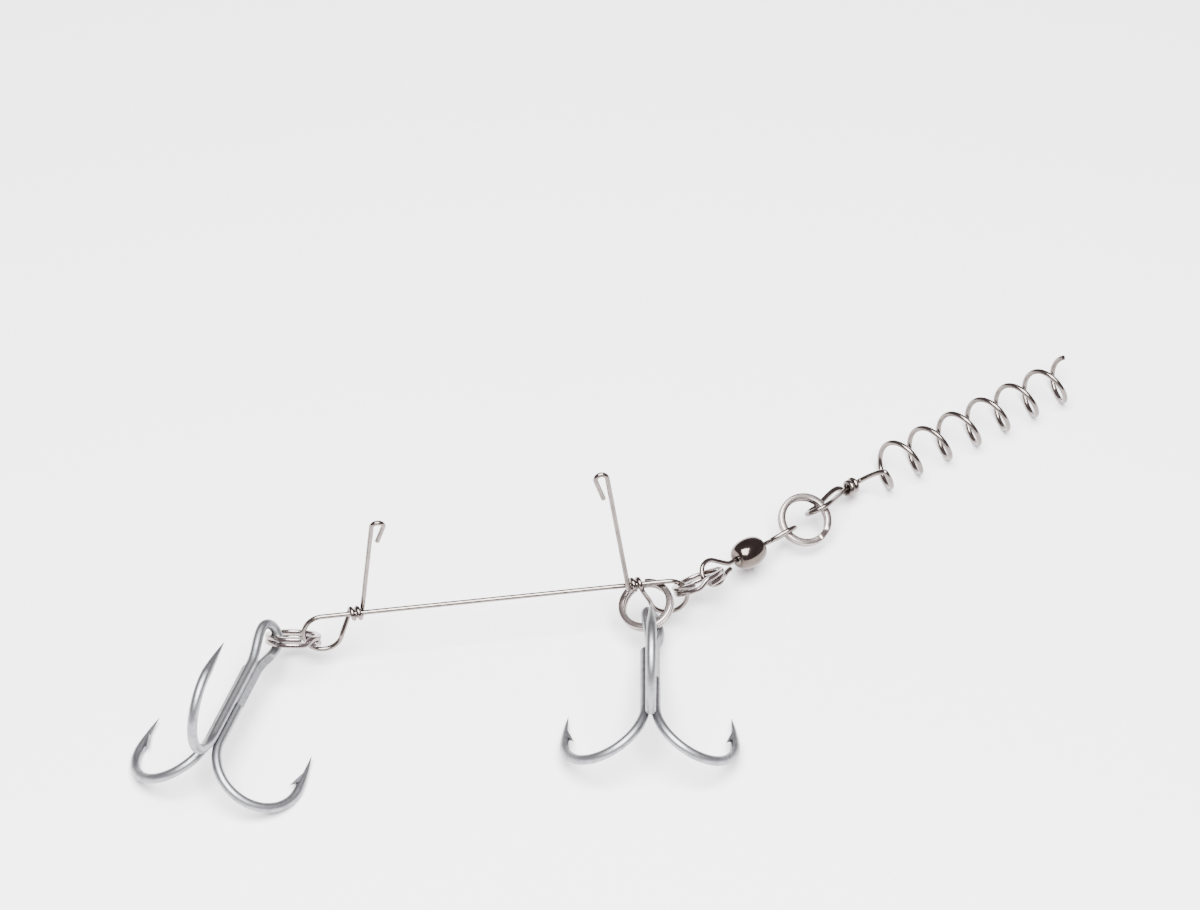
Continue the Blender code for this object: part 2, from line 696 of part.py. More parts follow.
def assemble():
    spine_place = placed(axes(aim(*SPINE_AIM), Vector((0, 0, 1))), Vector((-0.0602, -0.0156, SPINE_HEIGHT)))
    root = empty("stinger", spine_place)
    stinger(root)
    rear, front = stinger_loops()

    wire_hold = RING_HOLD - STINGER_WIRE / 2
    ring = Ring(REAR_RING_NORMAL, spine_place @ rear.on_round(-8), -128.9, wire_hold - REAR_RING_SLACK)
    body = ring.build("rear_split_ring", root, 150)
    treble("rear", body, ring.band(29.1), ring.tangent(29.1), REAR_SHANK_AIM, REAR_EYE_PASS)

    ring = Ring(FRONT_RING_NORMAL, spine_place @ front.on_return(0.63), 123.8, wire_hold - FRONT_RING_SLACK)
    body = ring.build("front_split_ring", root, 168)
    treble("front", body, ring.band(-33.4), ring.tangent(-33.4), FRONT_SHANK_AIM, FRONT_EYE_PASS)

    ring = Ring(SWIVEL_RING_NORMAL, spine_place @ front.on_round(26), -7.0, wire_hold - SWIVEL_RING_SLACK)
    body = ring.build("swivel_split_ring", root, 90)
    along = aim(*SWIVEL_AIM)
    band = ring.band(213.3)
    first = eye_centre(band, -along)
    middle = first + SWIVEL_HALF * along
    eye_turn = axes(along, aim(*REAR_EYE_NORMAL))
    body = empty("swivel_rear_eye_hinge", placed(eye_turn, band), body)
    body["hinge_axis"] = ring.tangent(213.3)
    swivel_eye("swivel_rear_eye", body, Matrix.Translation(eye_turn.inverted() @ (first - band)))

    barrel_turn = axes(Vector((0, 0, 1)), along)
    body = empty("swivel_barrel_hinge", placed(barrel_turn, middle), body)
    barrel(body)
    last = middle + SWIVEL_HALF * along
    body = empty("swivel_front_eye_hinge", placed(axes(-along, aim(*FRONT_EYE_NORMAL)), last), body)
    swivel_eye("swivel_front_eye", body, Matrix.Identity(4))

    held = last + SWIVEL_EYE_RADIUS * along
    ring = Ring(SCREW_RING_NORMAL, held, -163.5, RING_HOLD - SWIVEL_WIRE / 2 - SCREW_RING_SLACK)
    body = ring.build("corkscrew_split_ring", body, -40)
    band = ring.band(17.8)
    screw = Corkscrew(band)
    body = empty("corkscrew_hinge", Matrix.Translation(band), body)
    body["hinge_axis"] = ring.tangent(17.8)
    path = [point - band for point in screw.path()]
    put(wire("corkscrew", path, SCREW_WIRE), body, BRIGHT)
    return root


def stand(root):
    """Moves the rig so that the origin is under its middle, on the table."""
    bpy.context.view_layer.update()
    graph = bpy.context.evaluated_depsgraph_get()
    low, high = Vector((math.inf,) * 3), Vector((-math.inf,) * 3)
    for obj in PARTS.objects:
        if obj.type == "EMPTY":
            continue
        seen = obj.evaluated_get(graph)
        data = seen.to_mesh()
        for vertex in data.vertices:
            place = seen.matrix_world @ vertex.co
            low = Vector(map(min, low, place))
            high = Vector(map(max, high, place))
        seen.to_mesh_clear()
    root.location -= Vector(((low.x + high.x) / 2, (low.y + high.y) / 2, low.z))


for leftover in list(bpy.data.objects):
    bpy.data.objects.remove(leftover)
WORLD = {}
PARTS = collection("stinger_rig")
HELPERS = collection("cutters")
BRIGHT = finish("bright_steel", (0.62, 0.58, 0.56), 1.0, 0.22)
HOOK_FINISH = finish("tinned_hook", (0.70, 0.71, 0.73), 1.0, 0.42)
BLACK_NICKEL = finish("black_nickel", (0.16, 0.14, 0.13), 1.0, 0.18)
RING_SECTION = ring_section()
stand(assemble())
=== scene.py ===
import json
import logging
import math
from dataclasses import dataclass
from enum import Enum

import bmesh
import bpy
from mathutils import Matrix, Vector


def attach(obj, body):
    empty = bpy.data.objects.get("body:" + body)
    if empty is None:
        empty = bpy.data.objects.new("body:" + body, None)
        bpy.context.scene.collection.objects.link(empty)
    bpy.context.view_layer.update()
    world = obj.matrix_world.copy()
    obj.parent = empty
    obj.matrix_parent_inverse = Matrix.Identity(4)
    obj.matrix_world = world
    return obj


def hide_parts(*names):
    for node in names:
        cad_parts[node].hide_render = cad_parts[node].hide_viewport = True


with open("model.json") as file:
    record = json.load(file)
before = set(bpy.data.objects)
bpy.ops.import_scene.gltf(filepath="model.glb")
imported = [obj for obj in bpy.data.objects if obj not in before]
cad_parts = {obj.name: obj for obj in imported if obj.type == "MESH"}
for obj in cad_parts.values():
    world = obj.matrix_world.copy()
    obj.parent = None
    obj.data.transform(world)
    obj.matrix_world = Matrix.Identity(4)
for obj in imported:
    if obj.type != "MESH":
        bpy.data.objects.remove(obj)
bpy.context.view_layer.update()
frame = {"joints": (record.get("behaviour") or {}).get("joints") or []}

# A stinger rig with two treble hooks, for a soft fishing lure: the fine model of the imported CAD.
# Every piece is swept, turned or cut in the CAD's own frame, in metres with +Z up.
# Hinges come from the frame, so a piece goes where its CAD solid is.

log = logging.getLogger("stinger_rig")
MM = 0.001
UP = Vector((0, 0, 1))
TURN_STEPS = 72  # points in a turn of a helix
ARC_STEPS = 48  # points in half a turn of a bend
STRAND_STEPS = 24  # points in the strand between a loop and its turns
CUT_SHARE = 0.72  # what a chamfer leaves of a round wire's diameter at its cut end
RING_BAND = 1.15 * MM  # the split rings' width, which what hangs on them has to go round
LINK_GAP = 0.08 * MM  # the least room between a ring and what it holds


# ---------------------------------------------------------------- geometry

def aim(azimuth: float, elevation: float) -> Vector:
    """The unit vector at this azimuth and elevation, in degrees."""
    turn, rise = math.radians(azimuth), math.radians(elevation)
    return Vector((math.cos(turn) * math.cos(rise), math.sin(turn) * math.cos(rise), math.sin(rise)))


def axes(x_axis: Vector, z_axis: Vector) -> Matrix:
    """The rotation to a pair of axes.

    Args:
        x_axis: what the rotation's X lies as near as it can.
        z_axis: the rotation's Z.

    Returns:
        The 3x3 matrix.
    """
    z = z_axis.normalized()
    x = (x_axis - x_axis.dot(z) * z).normalized()
    return Matrix((x, z.cross(x), z)).transposed()


def placed(rotation: Matrix, origin: Vector) -> Matrix:
    """The 4x4 matrix of this rotation about the world's origin and then this move."""
    return Matrix.Translation(origin) @ rotation.to_4x4()


def hinge(joint: str) -> Vector:
    """Where one of the frame's joints is.

    Args:
        joint: its name.

    Returns:
        A place on its axis.
    """
    for known in frame["joints"]:
        if known["name"] == joint:
            return Vector(known["pos_m"])
    raise KeyError(joint)


def ease(share: float) -> float:
    """A share from 0 to 1 that starts and stops smoothly."""
    return share * share * (3 - 2 * share)


def hermite(start: Vector, start_pull: Vector, end: Vector, end_pull: Vector, steps: int) -> list[Vector]:
    """Points between start and end on a curve that leaves and arrives by the pulls.

    Args:
        start, end: the curve's ends, both left out of the result.
        start_pull, end_pull: how the curve leaves and arrives.
        steps: how many pieces it is divided into.

    Returns:
        The points in between.
    """
    points = []
    for i in range(1, steps):
        t = i / steps
        a, b = 2 * t**3 - 3 * t**2 + 1, t**3 - 2 * t**2 + t
        c, d = 3 * t**2 - 2 * t**3, t**3 - t**2
        points.append(a * start + b * start_pull + c * end + d * end_pull)
    return points


def arc(
    centre: Vector, x_axis: Vector, y_axis: Vector, radius: float, first: float, last: float, steps: int
) -> list[Vector]:
    """Points of an arc, both ends included.

    Args:
        centre, radius: the arc's.
        x_axis, y_axis: its plane. Angles run from the first towards the second.
        first, last: the angles of its ends, in radians.
        steps: how many pieces it is divided into.

    Returns:
        The points in order.
    """
    angles = [first + (last - first) * i / steps for i in range(steps + 1)]
    return [centre + radius * (math.cos(a) * x_axis + math.sin(a) * y_axis) for a in angles]


def helix(
    start: Vector, along: Vector, x_axis: Vector, y_axis: Vector, radius: float, pitch: float, turns: float
) -> list[Vector]:
    """Points of a helix round a line.

    Args:
        start, along: where the line starts, and its direction.
        x_axis, y_axis: the side that the helix begins on, and the side that it turns towards.
        radius, pitch, turns: the helix's.

    Returns:
        The points in order.
    """
    count = round(turns * TURN_STEPS)
    points = []
    for i in range(count + 1):
        turn = turns * i / count
        angle = 2 * math.pi * turn
        spoke = radius * (math.cos(angle) * x_axis + math.sin(angle) * y_axis)
        points.append(start + turn * pitch * along + spoke)
    return points


# ---------------------------------------------------------------- nodes and finishes

def colour(code: str) -> tuple[float, float, float, float]:
    """An sRGB hex colour as linear RGBA.

    Args:
        code: the colour, as #RRGGBB.

    Returns:
        The linear channels and an alpha of 1.
    """
    channels = [int(code[i:i + 2], 16) / 255 for i in (1, 3, 5)]
    linear = [c / 12.92 if c <= 0.04045 else ((c + 0.055) / 1.055) ** 2.4 for c in channels]
    return (*linear, 1.0)


def node(
    tree: bpy.types.NodeTree, kind: str, links: dict | None = None, **settings: object
) -> bpy.types.Node:
    """Adds a node.

    Args:
        tree: the tree it goes in.
        kind: its type name.
        links: for each input, the output linked to it or the value set on it.
        settings: attributes of the node itself.

    Returns:
        The new node.
    """
    made = tree.nodes.new(kind)
    for name, value in settings.items():
        setattr(made, name, value)
    for name, value in (links or {}).items():
        if isinstance(value, bpy.types.NodeSocket):
            tree.links.new(value, made.inputs[name])
        else:
            made.inputs[name].default_value = value
    return made


GRAIN_NOISE = {"Detail": 3.0, "Roughness": 0.55}
CLOUD_NOISE = {"Detail": 4.0, "Roughness": 0.6}
PATCH_EDGES = (0.42, 0.72)  # the cloud noise where a dull patch begins, and where it is full
GLOSS_EDGES = (0.6, 1.4)  # the sum of both noises at the least and the greatest roughness


@dataclass(frozen=True)
class MetalFinish:
    """A bare or plated metal, with fine grain, cloudy handling marks and a duller tone in patches."""

    name: str
    bright: str
    dull: str
    roughness: float
    roughness_swing: float
    grain_mm: float
    grain_depth_mm: float
    cloud_mm: float
    dull_share: float

    def material(self) -> bpy.types.Material:
        """Builds the finish the first time, and hands back the same material afterwards.

        Returns:
            The material.
        """
        made = bpy.data.materials.get(self.name)
        if made:
            return made
        made = bpy.data.materials.new(self.name)
        made.use_nodes = True
        tree = made.node_tree
        shader = tree.nodes["Principled BSDF"]
        place = node(tree, "ShaderNodeTexCoord").outputs["Object"]
        grain = node(tree, "ShaderNodeTexNoise", {
            "Vector": place, "Scale": 1 / (self.grain_mm * MM), **GRAIN_NOISE,
        }).outputs["Fac"]
        cloud = node(tree, "ShaderNodeTexNoise", {
            "Vector": place, "Scale": 1 / (self.cloud_mm * MM), **CLOUD_NOISE,
        }).outputs["Fac"]
        patches = node(tree, "ShaderNodeMapRange", {
            "Value": cloud, "From Min": PATCH_EDGES[0], "From Max": PATCH_EDGES[1],
            "To Min": 0.0, "To Max": self.dull_share,
        }, interpolation_type="SMOOTHSTEP").outputs["Result"]
        tone = node(tree, "ShaderNodeValToRGB", {"Fac": patches})
        tone.color_ramp.elements[0].color = colour(self.bright)
        tone.color_ramp.elements[1].color = colour(self.dull)
        tree.links.new(tone.outputs["Color"], shader.inputs["Base Color"])
        both = node(tree, "ShaderNodeMath", {0: grain, 1: cloud}, operation="ADD").outputs[0]
        gloss = node(tree, "ShaderNodeMapRange", {
            "Value": both, "From Min": GLOSS_EDGES[0], "From Max": GLOSS_EDGES[1],
            "To Min": self.roughness - self.roughness_swing, "To Max": self.roughness + self.roughness_swing,
        }).outputs["Result"]
        tree.links.new(gloss, shader.inputs["Roughness"])
        bump = node(tree, "ShaderNodeBump", {
            "Height": grain, "Strength": 1.0, "Distance": self.grain_depth_mm * MM,
        }).outputs["Normal"]
        tree.links.new(bump, shader.inputs["Normal"])
        shader.inputs["Metallic"].default_value = 1.0
        return made


# Hard-drawn stainless spring wire: nearly a mirror, with a warm grey cast and faint die marks.
DRAWN_STAINLESS = MetalFinish(
    "drawn_stainless_wire", bright="#77706C", dull="#524B47", roughness=0.18, roughness_swing=0.05,
    grain_mm=0.10, grain_depth_mm=0.0012, cloud_mm=1.6, dull_share=0.55,
)
# The same wire rolled flat and tumbled: broad soft highlights on the faces.
ROLLED_STAINLESS = MetalFinish(
    "rolled_stainless_ring", bright="#948C89", dull="#6E6663", roughness=0.21, roughness_swing=0.06,
    grain_mm=0.12, grain_depth_mm=0.0015, cloud_mm=1.8, dull_share=0.5,
)
# Tin plating on high-carbon steel: light satin grey with a slightly gritty skin.
TIN_PLATE = MetalFinish(
    "tin_plated_hook", bright="#8D8F92", dull="#707275", roughness=0.40, roughness_swing=0.09,
    grain_mm=0.13, grain_depth_mm=0.0045, cloud_mm=1.4, dull_share=0.7,
)
# Where the hook was pressed flat and brazed, the plating is matt, with a coarser skin.
PRESSED_TIN = MetalFinish(
    "pressed_tin_flat", bright="#898B8F", dull="#6C6E72", roughness=0.48, roughness_swing=0.08,
    grain_mm=0.11, grain_depth_mm=0.006, cloud_mm=0.9, dull_share=0.6,
)
# Black nickel on the turned brass barrel: a dark mirror.
BLACK_NICKEL = MetalFinish(
    "black_nickel_barrel", bright="#5E5550", dull="#423B37", roughness=0.15, roughness_swing=0.05,
    grain_mm=0.10, grain_depth_mm=0.001, cloud_mm=1.5, dull_share=0.6,
)


@dataclass(frozen=True)
class PaperFloor:
    """The matt white paper that the rig lies on."""

    white: str = "#F7F5F6"
    roughness: float = 0.85
    reach: float = 3.0

    def lay(self) -> bpy.types.Object:
        """Builds the floor under the rig.

        Returns:
            The floor.
        """
        bpy.ops.mesh.primitive_plane_add(size=2 * self.reach)
        floor = bpy.context.object
        floor.name = "paper_floor"
        made = bpy.data.materials.new("matt_white_paper")
        made.use_nodes = True
        shader = made.node_tree.nodes["Principled BSDF"]
        shader.inputs["Base Color"].default_value = colour(self.white)
        shader.inputs["Roughness"].default_value = self.roughness
        floor.data.materials.append(made)
        return floor


# ---------------------------------------------------------------- sweeping a wire along its path

class Section(Enum):
    """The section that a wire is drawn or rolled to."""

    ROUND = "round"
    FLAT = "flat"


SHARE = "share"  # the attribute that holds each point's share of the full section


class WireDrawer:
    """Sweeps a section along a path with a Geometry Nodes tree, and makes a plain mesh of it."""

    def __init__(self, section: Section) -> None:
        """Builds the tree for this section.

        Args:
            section: round or flat.
        """
        self.section = section
        self.sockets: dict[str, str] = {}
        self.tree = bpy.data.node_groups.new(f"{section.value}_wire", "GeometryNodeTree")
        self._fill_tree()

    def _input(self, name: str, kind: str, value: float | int | None = None) -> None:
        """Gives the tree an input.

        Args:
            name: what draw() calls it.
            kind: the socket's type name.
            value: its default.
        """
        socket = self.tree.interface.new_socket(name, in_out="INPUT", socket_type=kind)
        if value is not None:
            socket.default_value = value
        self.sockets[name] = socket.identifier

    def _fill_tree(self) -> None:
        """Turns the path to a curve, sweeps the section along it, and sets the material."""
        tree = self.tree
        self._input("Path", "NodeSocketGeometry")
        self._input("Width", "NodeSocketFloat", 1.0 * MM)
        self._input("Thickness", "NodeSocketFloat", 1.0 * MM)
        self._input("Edge", "NodeSocketFloat", 0.2 * MM)
        self._input("Sides", "NodeSocketInt", 24)
        self._input("Finish", "NodeSocketMaterial")
        tree.interface.new_socket("Wire", in_out="OUTPUT", socket_type="NodeSocketGeometry")
        given = node(tree, "NodeGroupInput").outputs
        curve = node(tree, "GeometryNodeMeshToCurve", {"Mesh": given["Path"]}).outputs["Curve"]
        if self.section is Section.FLAT:
            curve = node(tree, "GeometryNodeSetCurveNormal", {"Curve": curve}, mode="Z_UP").outputs["Curve"]
            block = node(tree, "GeometryNodeCurvePrimitiveQuadrilateral", {
                "Width": given["Width"], "Height": given["Thickness"],
            }).outputs["Curve"]
            profile = node(tree, "GeometryNodeFilletCurve", {
                "Curve": block, "Count": given["Sides"], "Radius": given["Edge"], "Limit Radius": True,
            }, mode="POLY").outputs["Curve"]
        else:
            half = node(tree, "ShaderNodeMath", {0: given["Width"], 1: 0.5}, operation="MULTIPLY").outputs[0]
            profile = node(tree, "GeometryNodeCurvePrimitiveCircle", {
                "Resolution": given["Sides"], "Radius": half,
            }).outputs["Curve"]
        share = node(tree, "GeometryNodeInputNamedAttribute", {"Name": SHARE}, data_type="FLOAT")
        swept = node(tree, "GeometryNodeCurveToMesh", {
            "Curve": curve, "Profile Curve": profile, "Scale": share.outputs["Attribute"], "Fill Caps": True,
        }).outputs["Mesh"]
        real = node(tree, "GeometryNodeRealizeInstances", {"Geometry": swept}).outputs["Geometry"]
        dressed = node(tree, "GeometryNodeSetMaterial", {
            "Geometry": real, "Material": given["Finish"],
        }).outputs["Geometry"]
        node(tree, "NodeGroupOutput", {"Wire": dressed})

    def draw(
        self,
        name: str,
        path: list[Vector],
        finish: MetalFinish,
        width: float,
        thickness: float = 0.0,
        edge: float = 0.0,
        sides: int = 24,
        shares: list[float] | None = None,
    ) -> bpy.types.Object:
        """Sweeps one wire.

        Args:
            name: the new object's name.
            path: the centreline's points.
            finish: what the wire is made of.
            width: its diameter, or the width of a flat one in its path's plane.
            thickness, edge: a flat wire's other size and the rounding of its corners.
            sides: of a round section, or of each rounded corner.
            shares: each point's share of the full section, if it isn't 1.

        Returns:
            A plain mesh object at the origin.
        """
        data = bpy.data.meshes.new(name)
        data.from_pydata(path, [(i, i + 1) for i in range(len(path) - 1)], [])
        held = data.attributes.new(SHARE, "FLOAT", "POINT")
        held.data.foreach_set("value", shares or [1.0] * len(path))
        wire = bpy.data.objects.new(name, data)
        bpy.context.scene.collection.objects.link(wire)
        step = wire.modifiers.new("sweep", "NODES")
        step.node_group = self.tree
        values = {"Width": width, "Thickness": thickness, "Edge": edge, "Sides": sides}
        for label, value in values.items():
            step[self.sockets[label]] = value
        step[self.sockets["Finish"]] = finish.material()
        solid = settle(wire)
        crease(solid)
        return solid


def settle(obj: bpy.types.Object) -> bpy.types.Object:
    """Turns an object with modifiers into a plain mesh, welded and facing out.

    Args:
        obj: the object, which is removed.

    Returns:
        The new object, at the origin and with the old one's name.
    """
    bpy.context.view_layer.update()
    graph = bpy.context.evaluated_depsgraph_get()
    data = bpy.data.meshes.new_from_object(obj.evaluated_get(graph), depsgraph=graph)
    data.transform(obj.matrix_world)
    name = obj.name
    bpy.data.objects.remove(obj)
    data.name = name
    work = bmesh.new()
    work.from_mesh(data)
    bmesh.ops.remove_doubles(work, verts=work.verts, dist=1e-7)
    bmesh.ops.recalc_face_normals(work, faces=work.faces)
    work.to_mesh(data)
    work.free()
    made = bpy.data.objects.new(name, data)
    bpy.context.scene.collection.objects.link(made)
    return made


def crease(obj: bpy.types.Object, angle: float = 38.0) -> None:
    """Shades an object smooth, but for edges sharper than this angle in degrees."""
    obj.data.shade_smooth()
    obj.data.set_sharp_from_angle(angle=math.radians(angle))


def carve(obj: bpy.types.Object, steps: list[tuple[str, bpy.types.Object]]) -> bpy.types.Object:
    """Joins shapes to an object and cuts others from it, and removes those shapes.

    Args:
        obj: the object.
        steps: each operation, UNION or DIFFERENCE, with its shape.

    Returns:
        The plain mesh that is left.
    """
    for operation, other in steps:
        step = obj.modifiers.new(f"{operation.lower()} {other.name}", "BOOLEAN")
        step.operation = operation
        step.object = other
        step.solver = "EXACT"
    solid = settle(obj)
    for _, other in steps:
        bpy.data.objects.remove(other)
    return solid


def loft(name: str, rings: list[list[Vector]], matrix: Matrix) -> bpy.types.Object:
    """A closed solid through rings of as many points each, with flat ends.

    Args:
        name: the new object's name.
        rings: each section's points, all the same way round.
        matrix: takes the points into the CAD's frame.

    Returns:
        The mesh object.
    """
    work = bmesh.new()
    rows = [[work.verts.new(matrix @ point) for point in ring] for ring in rings]
    count = len(rings[0])
    for low, high in zip(rows, rows[1:]):
        for i in range(count):
            work.faces.new((low[i], low[(i + 1) % count], high[(i + 1) % count], high[i]))
    work.faces.new(rows[0][::-1])
    work.faces.new(rows[-1])
    bmesh.ops.recalc_face_normals(work, faces=work.faces)
    data = bpy.data.meshes.new(name)
    work.to_mesh(data)
    work.free()
    made = bpy.data.objects.new(name, data)
    bpy.context.scene.collection.objects.link(made)
    return made


def with_cut_end(
    points: list[Vector], chamfer: float, cut_share: float = CUT_SHARE
) -> tuple[list[Vector], list[float]]:
    """Breaks both cut ends of a wire with a small chamfer.

    Args:
        points: the wire's centreline.
        chamfer: the chamfer's length along it.
        cut_share: what is left of the section at the very end.

    Returns:
        The new centreline, and each point's share of the section.
    """
    first = (points[1] - points[0]).normalized()
    last = (points[-2] - points[-1]).normalized()
    path = [points[0], points[0] + chamfer * first] + points[1:-1] + [points[-1] + chamfer * last, points[-1]]
    shares = [cut_share] + [1.0] * (len(path) - 2) + [cut_share]
    return path, shares


def hand_over(piece: bpy.types.Object, body: str, stands_for: str) -> None:
    """Names a finished piece, and gives it its body and the CAD node it stands for.

    Args:
        piece: the finished piece.
        body: the body that it rides on.
        stands_for: the CAD node that it replaces.
    """
    piece.name = f"{stands_for}_fine"
    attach(piece, body)
    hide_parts(stands_for)
    log.info("%s: %d faces, rides %s", piece.name, len(piece.data.polygons), body)


# ---------------------------------------------------------------- split rings

@dataclass
class SplitRing:
    """Two flat coils of one rolled wire. It hangs on one wire at its hinge."""

    name: str
    joint: str
    body: str
    normal: tuple[float, float]
    hook_angle: float  # where round the ring the wire that it hangs on is, in degrees
    split_angle: float  # where its cut ends are, in degrees
    slack: float
    held_wire: float = 0.8 * MM
    diameter: float = 9.25 * MM
    thickness: float = 0.85 * MM
    shy: float = 0.03 * MM  # taken off each face, so that the link clears over its whole swing
    coil_gap: float = 0.06 * MM
    edge: float = 0.27 * MM
    edge_sides: int = 5
    chamfer: float = 0.04 * MM
    cut_share: float = 0.93
    joggle: float = math.radians(30)
    end_gap: float = math.radians(5)

    def __post_init__(self) -> None:
        """Works out the ring's own axes and its centre from its hinge."""
        normal = aim(*self.normal)
        self.mean = (self.diameter - RING_BAND) / 2
        self.axes = axes(UP.cross(normal), normal)
        turn = math.radians(self.hook_angle)
        spoke = self.axes @ Vector((math.cos(turn), math.sin(turn), 0))
        hold = self.mean - RING_BAND / 2 - LINK_GAP - self.held_wire / 2 - self.slack
        self.centre = hinge(self.joint) - hold * spoke

    def path(self) -> list[Vector]:
        """The centreline: one coil, the joggle to the other and that coil, which stops just short.

        Returns:
            Its points, with the ring flat at the origin.
        """
        first_coil = 2 * math.pi - self.joggle
        whole = 2 * first_coil + self.joggle - self.end_gap
        count = round(whole / (2 * math.pi) * 2 * ARC_STEPS)
        offset = (self.thickness + self.coil_gap) / 2
        points = []
        for i in range(count + 1):
            turn = whole * i / count
            rise = min(1.0, max(0.0, (turn - first_coil) / self.joggle))
            angle = math.radians(self.split_angle) + turn
            height = offset * (2 * ease(rise) - 1)
            points.append(Vector((self.mean * math.cos(angle), self.mean * math.sin(angle), height)))
        return points

    def build(self, drawer: WireDrawer) -> None:
        """Sweeps the ring flat and stands it in its place.

        Args:
            drawer: sweeps flat wire.
        """
        path, shares = with_cut_end(self.path(), self.chamfer, self.cut_share)
        ring = drawer.draw(
            self.name, path, ROLLED_STAINLESS, RING_BAND - 2 * self.shy, self.thickness - 2 * self.shy,
            self.edge, sides=self.edge_sides, shares=shares,
        )
        ring.data.transform(placed(self.axes, self.centre))
        hand_over(ring, self.body, self.name)


# ---------------------------------------------------------------- treble hooks

@dataclass
class TrebleHook:
    """A double hook with its eye, a single hook and the braze between their shanks.

    Its own axes have the shanks' common axis along Z, with the first hook on the side of X. Heights
    are along Z from where the bends begin.
    """

    prefix: str
    shank_aim: tuple[float, float]
    eye_pass: tuple[float, float]  # where the ring goes through the eye: across it, and the height
    wire: float = 1.6 * MM
    wire_sides: int = 32
    braze_joint: float = 0.13 * MM
    bend_radius: float = 7.4 * MM
    point_height: float = 7.0 * MM
    point_lean: float = 0.55 * MM
    point_taper: float = 7.2 * MM
    point_radius: float = 0.03 * MM
    point_fullness: float = 1.25  # the taper's power: above 1 it is slow at first
    point_steps: int = 28
    barb_tip_height: float = -0.1 * MM
    barb_root_height: float = 1.4 * MM
    barb_top_height: float = 3.6 * MM
    barb_reach: float = 1.62 * MM
    eye_radius: float = 2.3 * MM
    eye_height: float = 22.2 * MM
    neck_height: float = 15.5 * MM
    neck_steps: int = 20
    single_height: float = 16.0 * MM
    # How the single hook's end is rounded over: (below the top, share of the section).
    single_end: tuple[tuple[float, float], ...] = (
        (0.0, 0.55), (0.12 * MM, 0.80), (0.35 * MM, 0.95), (0.7 * MM, 1.0)
    )
    flat_low: float = 7.6 * MM
    flat_high: float = 19.5 * MM
    flat_depth: float = 0.35 * MM
    flat_ramp: float = 0.5 * MM
    flat_across: tuple[float, float] = (-3.2 * MM, -0.02 * MM)
    braze_high: float = 17.0 * MM
    braze_steps: int = 24
    braze_lip: float = 0.34 * MM
    braze_hollow: float = 0.07 * MM
    braze_shrink: float = 0.12  # what share thinner the braze is at its very ends
    shank_play: float = 0.012 * MM
    web_fill: float = 0.93 * MM
    fillet_fill: float = 0.85 * MM
    second: float = 120.0
    single: float = -120.0
    eye_way: float = -30.0
    web_way: float = 60.0

    def __post_init__(self) -> None:
        """Works out the spacings and the matrix from the hook's own axes to the CAD's frame."""
        self.body = f"{self.prefix}_treble"
        self.spacing = self.wire + self.braze_joint
        self.offset = self.spacing / math.sqrt(3)
        self.foot = self.offset + 2 * self.bend_radius
        self.flat_level = self.offset / 2 + self.wire / 2 - self.flat_depth
        along = aim(*self.shank_aim)
        side = along.cross(UP).normalized()
        shank = Matrix((side.cross(along), side, along)).transposed()
        held = hinge(f"{self.prefix}_treble_swing")
        self.matrix = placed(shank, held) @ Matrix.Translation(-self.eye_place(*self.eye_pass))

    @staticmethod
    def round_shank(azimuth: float, radius: float, height: float) -> Vector:
        """A place at this azimuth and radius round the shanks' common axis."""
        turn = math.radians(azimuth)
        return Vector((radius * math.cos(turn), radius * math.sin(turn), height))

    def eye_place(self, across: float, height: float) -> Vector:
        """A place in the eye's plane, across from its middle towards its first wire."""
        plane = self.round_shank(self.web_way, self.offset / 2, 0)
        return self.round_shank(self.eye_way, across, height) + plane

    def hook_arm(self, azimuth: float, shank_top: float) -> tuple[list[Vector], list[float]]:
        """One hook's centreline from the top of its shank to its point.

        Args:
            azimuth: the way that the hook faces.
            shank_top: the height that it starts from.

        Returns:
            The points, and each one's share of the section.
        """
        outline, shares = [(self.offset, shank_top)], [1.0]
        for i in range(ARC_STEPS + 1):
            turn = math.pi + math.pi * i / ARC_STEPS
            across = self.offset + self.bend_radius * (1 + math.cos(turn))
            outline.append((across, self.bend_radius * math.sin(turn)))
            shares.append(1.0)
        low = self.point_height - self.point_taper
        for i in range(1, self.point_steps + 1):
            share = i / self.point_steps
            height = low + (self.point_height - low) * share
            outline.append((self.foot - self.point_lean * share**2, height))
            shares.append(1 - (1 - 2 * self.point_radius / self.wire) * share**self.point_fullness)
        return [self.round_shank(azimuth, r, z) for r, z in outline], shares

    def barb(self, azimuth: float) -> bpy.types.Object:
        """The cut that stands up on the inside of the point, thin at its tip and thick at its root.

        Args:
            azimuth: the way that its hook faces.

        Returns:
            The barb's solid, which reaches into the wire.
        """
        # Each corner: across, height, and half the barb's width there as a share of the wire.
        outline = [
            (self.foot - self.barb_reach, self.barb_tip_height, 0.10),
            (self.foot - 0.60 * self.barb_reach, 0.55 * self.barb_root_height, 0.20),
            (self.foot - 0.15 * self.wire, self.barb_root_height, 0.30),
            (self.foot - 0.15 * self.wire, self.barb_top_height, 0.24),
            (self.foot - 0.45 * self.wire, 0.80 * self.barb_top_height, 0.22),
            (self.foot - 0.80 * self.barb_reach, 0.30 * self.barb_top_height, 0.20),
        ]
        radial = self.round_shank(azimuth, 1, 0)
        side = radial.cross(UP)
        rings = []
        for way in (-1, 1):
            rings.append([r * radial + z * UP + way * share * self.wire * side for r, z, share in outline])
        return loft(f"{self.prefix}_barb", rings, self.matrix)

